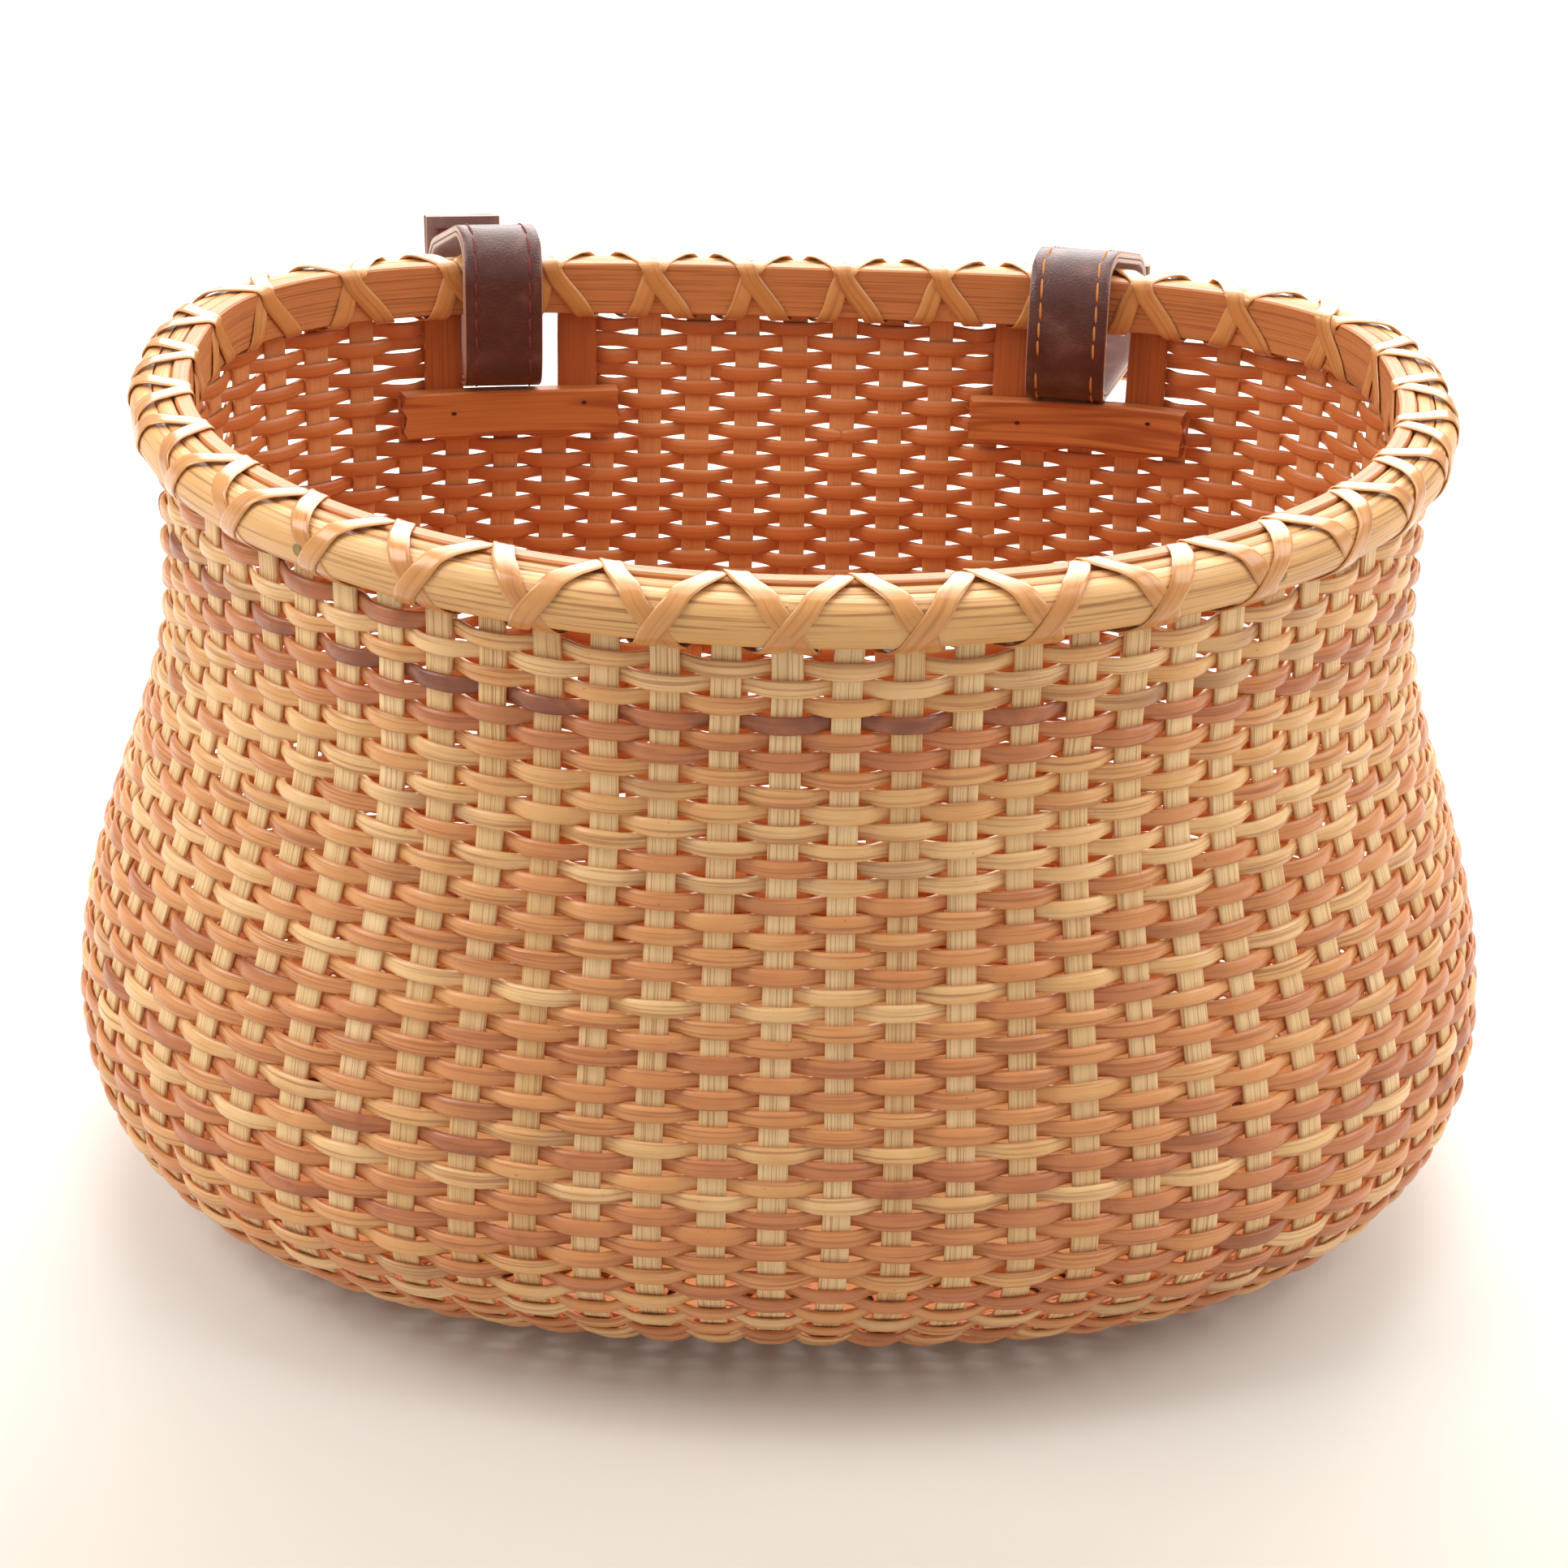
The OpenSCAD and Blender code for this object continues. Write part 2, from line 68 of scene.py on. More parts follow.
def paint(red: float, green: float, blue: float) -> Colour:
    """Turns a colour as the eye reads it (0 to 255) into light amounts."""
    return tuple((c / 255) ** EYE_POWER for c in (red, green, blue))


def unit(v: np.ndarray) -> np.ndarray:
    """Vectors scaled to length one."""
    return v / np.maximum(np.linalg.norm(v, axis=-1, keepdims=True), 1e-12)


def smooth(x: np.ndarray, low: float, high: float) -> np.ndarray:
    """Smooth step from 0 at low to 1 at high."""
    t = np.clip((x - low) / (high - low), 0.0, 1.0)
    return t * t * (3 - 2 * t)


def wander(x: np.ndarray, rng: np.random.Generator, waves: int, longest: float) -> np.ndarray:
    """Slow random waviness along a length.

    Args:
        x: Places along the length.
        rng: Random source.
        waves: How many sine waves are added.
        longest: Longest wavelength.

    Returns:
        Values that stay roughly between -1 and 1.
    """
    total = np.zeros_like(x)
    for k in range(waves):
        wavelength = longest / (1 + k)
        total += np.sin(2 * math.pi * x / wavelength + rng.uniform(0, 2 * math.pi)) / (1 + k)
    return total / 1.6


def oval(half_h: float, half_t: float, count: int, power: float = 0.85) -> np.ndarray:
    """Rounded outline of a strip, as (across, outwards) pairs.

    Args:
        half_h: Half the size across.
        half_t: Half the size outwards.
        count: Number of points.
        power: Below 1 the outline is squarer than an ellipse.

    Returns:
        One row for each point.
    """
    a = np.linspace(0, 2 * math.pi, count, endpoint=False)
    c, s = np.cos(a), np.sin(a)
    return np.stack(
        [half_h * np.sign(c) * np.abs(c) ** power, half_t * np.sign(s) * np.abs(s) ** power], 1
    )


def bar_outline(width: float, thick: float, bevel: float, per_side: int = 1) -> np.ndarray:
    """Outline of a flat bar with bevelled corners, as (across, outwards) pairs.

    Args:
        width: Size across.
        thick: Size outwards.
        bevel: Size of the cut corners.
        per_side: Points along each long side.

    Returns:
        One row for each point.
    """
    w, t = width / 2, thick / 2
    corners = [
        (w, -t + bevel), (w, t - bevel), (w - bevel, t), (-w + bevel, t),
        (-w, t - bevel), (-w, -t + bevel), (-w + bevel, -t), (w - bevel, -t),
    ]
    points = []
    for k, here in enumerate(corners):
        there = corners[(k + 1) % len(corners)]
        steps = per_side if abs(here[0] - there[0]) > 2 * bevel else 1
        for i in range(steps):
            f = i / steps
            points.append((here[0] + (there[0] - here[0]) * f, here[1] + (there[1] - here[1]) * f))
    return np.array(points)


class Sheaf:
    """Collects swept strips and turns them into one mesh object."""

    def __init__(self) -> None:
        """Starts with nothing in it."""
        self.points: list[np.ndarray] = []
        self.tones: list[np.ndarray] = []
        self.edge_and_glow_marks: list[np.ndarray] = []
        self.corners: list[np.ndarray] = []
        self.sizes: list[np.ndarray] = []
        self.uvs: list[np.ndarray] = []
        self.count = 0

    def sweep(
        self,
        path: np.ndarray,
        across: np.ndarray,
        out: np.ndarray,
        outline: np.ndarray,
        tone: float = 0.5,
        width: float | np.ndarray = 1.0,
        depth: float | np.ndarray = 1.0,
        closed: bool = False,
        edge: np.ndarray | None = None,
        offset: float = 0.0,
    ) -> None:
        """Adds one strip: an outline carried along a path.

        Args:
            path: Places along the strip, one row each.
            across: Direction of the outline's first axis at each place.
            out: Direction of the outline's second axis at each place.
            outline: The outline's points.
            tone: Shade number of this strip, 0 to 1.
            width: Scale of the first axis, one number or one per place.
            depth: Scale of the second axis, one number or one per place.
            closed: Whether the path joins its own start.
            edge: Marks the outline's points on a cut edge with 1; on reeds and staves it marks the faces
                into the basket, which get painted bounce light.
            offset: Added to the length coordinate, so that strips differ.
        """
        n, m = len(path), len(outline)
        w = np.broadcast_to(np.asarray(width, float), (n,))[:, None, None]
        d = np.broadcast_to(np.asarray(depth, float), (n,))[:, None, None]
        verts = (
            path[:, None, :]
            + across[:, None, :] * outline[None, :, :1] * w
            + out[:, None, :] * outline[None, :, 1:] * d
        ).reshape(-1, 3)
        steps = np.linalg.norm(np.diff(path, axis=0), axis=1)
        run = np.concatenate([[0.0], np.cumsum(steps)]) + offset
        last = run[-1] + (np.linalg.norm(path[0] - path[-1]) if closed else 0.0)
        rows = n if closed else n - 1
        i = np.repeat(np.arange(rows), m)
        j = np.tile(np.arange(m), rows)
        i2, j2 = (i + 1) % n, (j + 1) % m
        quads = np.stack([i * m + j, i * m + j2, i2 * m + j2, i2 * m + j], 1) + self.count
        girth = np.linalg.norm(np.diff(np.vstack([outline, outline[:1]]), axis=0), axis=1)
        round_ = np.concatenate([[0.0], np.cumsum(girth)])
        run2 = np.append(run, last)
        u1, u2 = run[i], run2[i + 1]
        v1, v2 = round_[j], round_[j + 1]
        uv = np.stack([u1, v1, u1, v2, u2, v2, u2, v1], 1).reshape(-1, 2)
        self.points.append(verts)
        self.corners.append(quads.reshape(-1))
        self.sizes.append(np.full(len(quads), 4))
        self.uvs.append(uv)
        if not closed:
            ring = np.arange(m)
            for ids, place in ((ring[::-1], 0), (ring, n - 1)):
                self.corners.append(place * m + ids + self.count)
                self.sizes.append(np.array([m]))
                self.uvs.append(np.stack([np.full(m, run[place]), round_[ids]], 1))
        self.tones.append(np.full(n * m, tone))
        self.edge_and_glow_marks.append(np.tile(edge if edge is not None else np.zeros(m), n))
        self.count += n * m

    def build(self, name: str, material: bpy.types.Material, sharp: float = 50.0) -> bpy.types.Object:
        """Turns the strips into one object.

        Args:
            name: Name of the object.
            material: Its finish.
            sharp: Edges sharper than this many degrees stay crisp.

        Returns:
            The new object, linked to the scene.
        """
        points = np.concatenate(self.points)
        corners = np.concatenate(self.corners)
        sizes = np.concatenate(self.sizes)
        mesh = bpy.data.meshes.new(name)
        mesh.vertices.add(len(points))
        mesh.vertices.foreach_set("co", points.astype(np.float32).ravel())
        mesh.loops.add(len(corners))
        mesh.loops.foreach_set("vertex_index", corners.astype(np.int32))
        mesh.polygons.add(len(sizes))
        starts = np.concatenate([[0], np.cumsum(sizes)[:-1]])
        mesh.polygons.foreach_set("loop_start", starts.astype(np.int32))
        mesh.polygons.foreach_set("use_smooth", np.ones(len(sizes), bool))
        layer = mesh.uv_layers.new(name="run")
        layer.uv.foreach_set("vector", np.concatenate(self.uvs).astype(np.float32).ravel())
        # The edge attribute holds cut edges, and the inward faces that get painted bounce light.
        for label, values in (("tone", self.tones), ("edge", self.edge_and_glow_marks)):
            attribute = mesh.attributes.new(label, "FLOAT", "POINT")
            attribute.data.foreach_set("value", np.concatenate(values).astype(np.float32))
        mesh.update(calc_edges=True)
        mesh.validate()
        mesh.set_sharp_from_angle(angle=math.radians(sharp))
        mesh.materials.append(material)
        made = bpy.data.objects.new(name, mesh)
        bpy.context.scene.collection.objects.link(made)
        return made


# ---- finishes ---------------------------------------------------------------------------


class Recipe:
    """A material's node tree, with short ways to add and join nodes."""

    def __init__(self, name: str) -> None:
        """Makes an empty material with a principled shader.

        Args:
            name: Name of the material.
        """
        self.material = bpy.data.materials.new(name)
        self.material.use_nodes = True
        self.tree = self.material.node_tree
        self.tree.nodes.clear()
        self.shader = self.tree.nodes.new("ShaderNodeBsdfPrincipled")
        output = self.tree.nodes.new("ShaderNodeOutputMaterial")
        self.join(self.shader.outputs[0], output.inputs["Surface"])

    def join(self, a: bpy.types.NodeSocket, b: bpy.types.NodeSocket) -> None:
        """Links one socket to another."""
        self.tree.links.new(a, b)

    def add(self, kind: str, **settings: object) -> bpy.types.Node:
        """Adds a node and sets its properties.

        Args:
            kind: Kind of shader node.
            **settings: Properties to set on it.

        Returns:
            The new node.
        """
        node = self.tree.nodes.new("ShaderNode" + kind)
        for key, value in settings.items():
            setattr(node, key, value)
        return node

    def attribute(self, name: str) -> bpy.types.NodeSocket:
        """Reads a number stored on the mesh."""
        return self.add("Attribute", attribute_name=name).outputs["Fac"]

    def run(self, scale: tuple[float, float]) -> bpy.types.NodeSocket:
        """Coordinates along and round a strip, scaled, shifted by the strip's tone.

        Args:
            scale: Scale along the strip and round it.

        Returns:
            The coordinates.
        """
        place = self.add("UVMap", uv_map="run").outputs["UV"]
        scaled = self.add("VectorMath", operation="MULTIPLY")
        self.join(place, scaled.inputs[0])
        scaled.inputs[1].default_value = (scale[0], scale[1], 0.0)
        shift = self.add("CombineXYZ")
        amount = self.maths("MULTIPLY", self.attribute("tone"), TONE_SHIFT)
        self.join(amount, shift.inputs["Z"])
        total = self.add("VectorMath", operation="ADD")
        self.join(scaled.outputs[0], total.inputs[0])
        self.join(shift.outputs[0], total.inputs[1])
        return total.outputs[0]

    def place(self) -> bpy.types.NodeSocket:
        """Coordinates fixed to the object."""
        return self.add("TexCoord").outputs["Object"]

    def noise(
        self, at: bpy.types.NodeSocket, scale: float, detail: float = 3.0, twist: float = 0.0
    ) -> bpy.types.NodeSocket:
        """Cloudy pattern, 0 to 1.

        Args:
            at: Coordinates.
            scale: Size of the pattern, larger is finer.
            detail: How much finer pattern is added.
            twist: How far the pattern is bent.

        Returns:
            The pattern's amount.
        """
        node = self.add("TexNoise")
        self.join(at, node.inputs["Vector"])
        node.inputs["Scale"].default_value = scale
        node.inputs["Detail"].default_value = detail
        node.inputs["Distortion"].default_value = twist
        return node.outputs["Fac"]

    def maths(
        self, operation: str, a: bpy.types.NodeSocket, b: bpy.types.NodeSocket | float
    ) -> bpy.types.NodeSocket:
        """One sum, such as ADD or MULTIPLY, on two values.

        Args:
            operation: Name of the sum.
            a: First value.
            b: Second value, fixed or from a node.

        Returns:
            The result.
        """
        node = self.add("Math", operation=operation)
        self.join(a, node.inputs[0])
        if isinstance(b, (int, float)):
            node.inputs[1].default_value = b
        else:
            self.join(b, node.inputs[1])
        return node.outputs[0]

    def ramp(
        self, value: bpy.types.NodeSocket, stops: tuple[tuple[float, Colour], ...]
    ) -> bpy.types.NodeSocket:
        """Colour looked up along a list of stops.

        Args:
            value: Place along the list, 0 to 1.
            stops: Places and their colours.

        Returns:
            The colour.
        """
        node = self.add("ValToRGB")
        self.join(value, node.inputs[0])
        band = node.color_ramp
        while len(band.elements) < len(stops):
            band.elements.new(0.5)
        for element, (at, colour) in zip(band.elements, stops):
            element.position = at
            element.color = (*colour, 1.0)
        return node.outputs[0]

    def mix(
        self,
        share: bpy.types.NodeSocket,
        a: bpy.types.NodeSocket | Colour,
        b: bpy.types.NodeSocket | Colour,
    ) -> bpy.types.NodeSocket:
        """Mixes two colours.

        Args:
            share: Amount of the second colour.
            a: First colour.
            b: Second colour.

        Returns:
            The mixed colour.
        """
        node = self.add("MixRGB")
        self.join(share, node.inputs[0])
        for socket, colour in ((node.inputs[1], a), (node.inputs[2], b)):
            if isinstance(colour, tuple):
                socket.default_value = (*colour, 1.0)
            else:
                self.join(colour, socket)
        return node.outputs[0]

    def band(
        self, value: bpy.types.NodeSocket, low: float, high: float, top: float = 1.0, soft: bool = False
    ) -> bpy.types.NodeSocket:
        """Turns part of a value's range into 0 to a top amount.

        Args:
            value: Value to read.
            low: Value that gives 0.
            high: Value that gives the top amount.
            top: The top amount.
            soft: Whether both ends are eased.

        Returns:
            The amount.
        """
        node = self.add("MapRange", interpolation_type="SMOOTHSTEP" if soft else "LINEAR")
        self.join(value, node.inputs[0])
        node.inputs[1].default_value = low
        node.inputs[2].default_value = high
        node.inputs[4].default_value = top
        return node.outputs[0]

    def swing(self, value: bpy.types.NodeSocket, amount: float) -> bpy.types.NodeSocket:
        """A pattern centred on nought, scaled to an amount."""
        return self.maths("MULTIPLY", self.maths("SUBTRACT", value, 0.5), amount)

    def bump(self, height: bpy.types.NodeSocket, depth: float) -> None:
        """Roughens the surface by a height pattern, depth in metres.

        Args:
            height: The height pattern.
            depth: Height of the pattern, in metres.
        """
        node = self.add("Bump")
        node.inputs["Strength"].default_value = 1.0
        node.inputs["Distance"].default_value = depth
        self.join(height, node.inputs["Height"])
        self.join(node.outputs[0], self.shader.inputs["Normal"])

    def gloss(self, rough: float, coat: float = 0.0, coat_rough: float = 0.2) -> None:
        """Sets how shiny the surface is.

        Args:
            rough: Roughness of the surface.
            coat: Amount of clear coat.
            coat_rough: Roughness of the coat.
        """
        self.shader.inputs["Roughness"].default_value = rough
        self.shader.inputs["Coat Weight"].default_value = coat
        self.shader.inputs["Coat Roughness"].default_value = coat_rough


@dataclass(frozen=True)
class StripFinish:
    """Split reed, cane, stave or hoop wood: grain runs along the strip, and faces into the basket can get
    painted bounce light.
    """

    name: str
    stops: tuple[tuple[float, Colour], ...]
    streak: Colour
    streak_amount: float
    grain: float = 2600.0
    blotch: Colour | None = None
    rough: float = 0.45
    coat: float = 0.0
    relief: float = 0.00008
    # inner: painted bounce light, a warm orange for the faces into the basket
    inner: Colour | None = None
    slow_scale: tuple[float, float] = (26.0, 90.0)
    slow_amount: float = 0.5
    quick_scale: tuple[float, float] = (130.0, 140.0)
    quick_amount: float = 0.34
    fibre_stretch: float = 22.0
    fibre_band: tuple[float, float] = (0.46, 0.70)
    spot_scale: tuple[float, float] = (9.0, 30.0)
    spot_band: tuple[float, float, float] = (0.60, 0.74, 0.75)
    fleck_scale: tuple[float, float] = (900.0, 900.0)
    fleck_band: tuple[float, float, float] = (0.70, 0.80, 0.55)

    def make(self) -> bpy.types.Material:
        """Builds the material.

        Returns:
            The material.
        """
        r = Recipe(self.name)
        slow = r.noise(r.run(self.slow_scale), 1.0, 2.0)
        shade = r.maths("ADD", r.attribute("tone"), r.swing(slow, self.slow_amount))
        quick = r.noise(r.run(self.quick_scale), 1.0, 3.0, 0.5)
        shade = r.maths("ADD", shade, r.swing(quick, self.quick_amount))
        colour = r.ramp(shade, self.stops)
        fibre = r.noise(r.run((self.fibre_stretch, self.grain)), 1.0, 4.0, 0.15)
        lines = r.band(fibre, *self.fibre_band, self.streak_amount, soft=True)
        colour = r.mix(lines, colour, self.streak)
        if self.blotch is not None:
            spot = r.noise(r.run(self.spot_scale), 1.0, 3.0, 0.4)
            colour = r.mix(r.band(spot, *self.spot_band), colour, self.blotch)
            fleck = r.noise(r.run(self.fleck_scale), 1.0, 2.0)
            colour = r.mix(r.band(fleck, *self.fleck_band), colour, self.blotch)
        # Painted bounce light: faces into the basket turn towards the inner colour.
        if self.inner is not None:
            colour = r.mix(r.attribute("edge"), colour, self.inner)
        r.join(colour, r.shader.inputs["Base Color"])
        r.bump(fibre, self.relief)
        r.gloss(self.rough, self.coat)
        return r.material


@dataclass(frozen=True)
class PlankFinish:
    """Planed softwood with long dark figure."""

    name: str
    pale: Colour
    deep: Colour
    figure: float = 0.75
    rough: float = 0.5
    solid: bool = False
    broad_scale: tuple[float, float] = (14.0, 160.0)
    broad_band: tuple[float, float] = (0.50, 0.66)
    fine_scale: tuple[float, float] = (30.0, 1500.0)
    fine_power: float = 3.0
    fine_amount: float = 1.2
    relief: float = 0.00006

    def make(self) -> bpy.types.Material:
        """Builds the material.

        Returns:
            The material.
        """
        r = Recipe(self.name)
        broad = r.noise(self.grain(r, *self.broad_scale), 1.0, 1.5, 1.2)
        fine = r.noise(self.grain(r, *self.fine_scale), 1.0, 3.0)
        colour = r.mix(r.band(broad, *self.broad_band, self.figure, soft=True), self.pale, self.deep)
        lines = r.maths("MULTIPLY", r.maths("POWER", fine, self.fine_power), self.fine_amount)
        colour = r.mix(lines, colour, self.deep)
        r.join(colour, r.shader.inputs["Base Color"])
        r.bump(fine, self.relief)
        r.gloss(self.rough)
        return r.material

    def grain(self, r: Recipe, along: float, across: float) -> bpy.types.NodeSocket:
        """Coordinates stretched along the wood, on a strip or fixed to a whole board.

        Args:
            r: Recipe that gets the nodes.
            along: Scale along the grain.
            across: Scale across the grain.

        Returns:
            The coordinates.
        """
        if not self.solid:
            return r.run((along, across))
        scaled = r.add("VectorMath", operation="MULTIPLY")
        r.join(r.place(), scaled.inputs[0])
        scaled.inputs[1].default_value = (along, across, across)
        return scaled.outputs[0]


@dataclass(frozen=True)
class LeatherFinish:
    """Pebbled leather with pale cut edges."""

    name: str
    face: Colour
    crease: Colour
    cut: Colour
    rough: float
    pebble_scale: float = 1900.0
    soft_scale: float = 260.0
    soft_height: float = 1.2
    rub_scale: float = 120.0
    rub_power: float = 6.0
    rub_amount: float = 1.5
    relief: float = 0.00009
    coat: float = 0.22
    coat_rough: float = 0.32

    def make(self) -> bpy.types.Material:
        """Builds the material.

        Returns:
            The material.
        """
        r = Recipe(self.name)
        at = r.place()
        cells = r.add("TexVoronoi", feature="F1")
        r.join(at, cells.inputs["Vector"])
        cells.inputs["Scale"].default_value = self.pebble_scale
        soft = r.noise(at, self.soft_scale, 3.0)
        colour = r.mix(soft, self.crease, self.face)
        rub = r.noise(at, self.rub_scale, 5.0, 0.5)
        worn = r.maths("MULTIPLY", r.maths("POWER", rub, self.rub_power), self.rub_amount)
        colour = r.mix(worn, colour, self.cut)
        colour = r.mix(r.attribute("edge"), colour, self.cut)
        r.join(colour, r.shader.inputs["Base Color"])
        height = r.maths("ADD", cells.outputs["Distance"], r.maths("MULTIPLY", soft, self.soft_height))
        r.bump(height, self.relief)
        r.gloss(self.rough, self.coat, self.coat_rough)
        return r.material


@dataclass(frozen=True)
class PlainFinish:
    """One even colour: metal or thread."""

    name: str
    colour: Colour
    rough: float
    metal: float = 0.0
    relief: float = 0.0
    relief_scale: float = 700.0

    def make(self) -> bpy.types.Material:
        """Builds the material.

        Returns:
            The material.
        """
        r = Recipe(self.name)
        r.shader.inputs["Base Color"].default_value = (*self.colour, 1.0)
        r.shader.inputs["Metallic"].default_value = self.metal
        r.gloss(self.rough)
        if self.relief:
            r.bump(r.noise(r.place(), self.relief_scale, 3.0), self.relief)
        return r.material


@dataclass(frozen=True)
class FloorFinish:
    """Pale floor with painted shade: darker and warmer towards the basket's front, standing in for the
    basket's shadow and the weaker light there.
    """

    name: str
    far: Colour
    # near: painted shade, the floor's colour in front of the basket where its shadow falls
    near: Colour
    painted_shade_from: float = 0.02
    painted_shade_to: float = -0.24
    rough: float = 0.9

    def make(self) -> bpy.types.Material:
        """Builds the material.

        Returns:
            The material.
        """
        r = Recipe(self.name)
        split = r.add("SeparateXYZ")
        r.join(r.place(), split.inputs[0])
        # Painted shade: blends from the lit far colour to the shaded near colour towards the front.
        fade = r.band(split.outputs["Y"], self.painted_shade_from, self.painted_shade_to, soft=True)
        r.join(r.mix(fade, self.far, self.near), r.shader.inputs["Base Color"])
        r.gloss(self.rough)
        return r.material


REED = StripFinish(
    "reed",
    (
        (0.00, paint(108, 60, 48)),
        (0.10, paint(136, 80, 58)),
        (0.24, paint(184, 112, 70)),
        (0.45, paint(203, 132, 80)),
        (0.64, paint(212, 147, 90)),
        (0.82, paint(220, 168, 108)),
        (1.00, paint(230, 187, 131)),
    ),
    streak=paint(142, 76, 42), streak_amount=0.62, grain=1150.0,
    blotch=paint(122, 66, 40), rough=0.38, coat=0.15, relief=0.00022,
    # inner: painted bounce light, the orange glow on the reeds' faces into the basket
    inner=paint(207, 120, 65),
)
STAVE = StripFinish(
    "stave",
    ((0.0, paint(220, 178, 122)), (0.5, paint(230, 194, 140)), (1.0, paint(240, 208, 156))),
    streak=paint(166, 106, 58), streak_amount=0.72, grain=3000.0, rough=0.62, relief=0.00022,
    # inner: painted bounce light, the orange glow on the staves' faces into the basket
    inner=paint(222, 140, 80),
)
FLAT_HOOP = StripFinish(
    "hoop_flat",
    ((0.0, paint(180, 112, 66)), (0.5, paint(194, 124, 72)), (1.0, paint(206, 138, 84))),
    streak=paint(124, 66, 34), streak_amount=0.55, grain=1500.0, rough=0.45, relief=0.00014,
)
ROUND_HOOP = StripFinish(
    "hoop_round",
    ((0.0, paint(202, 146, 88)), (0.5, paint(216, 164, 104)), (1.0, paint(228, 184, 126))),
    streak=paint(140, 86, 46), streak_amount=0.75, grain=1100.0, rough=0.42, relief=0.00024,
)
FILLER = StripFinish(
    "filler",
    ((0.0, paint(190, 134, 80)), (0.5, paint(206, 150, 92)), (1.0, paint(218, 168, 108))),
    streak=paint(120, 70, 38), streak_amount=0.7, grain=1800.0, rough=0.5, relief=0.00020,
)
CANE = StripFinish(
    "cane",
    ((0.0, paint(184, 118, 62)), (0.5, paint(202, 140, 80)), (1.0, paint(216, 162, 100))),
    streak=paint(150, 90, 46), streak_amount=0.45, grain=1000.0, rough=0.26, coat=0.35,
    relief=0.00004,
)
POST = StripFinish(
    "post",
    ((0.0, paint(168, 90, 46)), (0.5, paint(178, 98, 50)), (1.0, paint(190, 110, 58))),
    streak=paint(128, 62, 30), streak_amount=0.4, grain=1500.0, rough=0.42, relief=0.00008,
)
PINE = PlankFinish("crossbar", paint(202, 120, 62), paint(150, 66, 30))
BOARD = PlankFinish("board", paint(212, 160, 102), paint(150, 92, 48), rough=0.6, solid=True)
LEATHER = LeatherFinish("leather", paint(88, 46, 40), paint(62, 30, 27), paint(186, 140, 116), 0.36)
LINING = LeatherFinish("lining", paint(136, 104, 98), paint(116, 84, 80), paint(190, 158, 136), 0.6)
RED_THREAD = PlainFinish("thread_red", paint(112, 42, 34), 0.7)
GOLD_THREAD = PlainFinish("thread_gold", paint(196, 120, 58), 0.65)
STEEL = PlainFinish("buckle", (0.80, 0.80, 0.80), 0.18, 1.0)
NAIL = PlainFinish("nail", paint(140, 122, 78), 0.40, 0.85, 0.0002)
BRAD = PlainFinish("brad", paint(70, 42, 30), 0.6, 0.4)
COPPER = PlainFinish("rivet", (0.72, 0.34, 0.16), 0.3, 1.0)
# The near colour is painted shade: the floor is darker and warmer in front of the basket.
FLOOR = FloorFinish("floor", (0.83, 0.81, 0.78), (0.57, 0.515, 0.455))


# ---- shape of the bowl ------------------------------------------------------------------


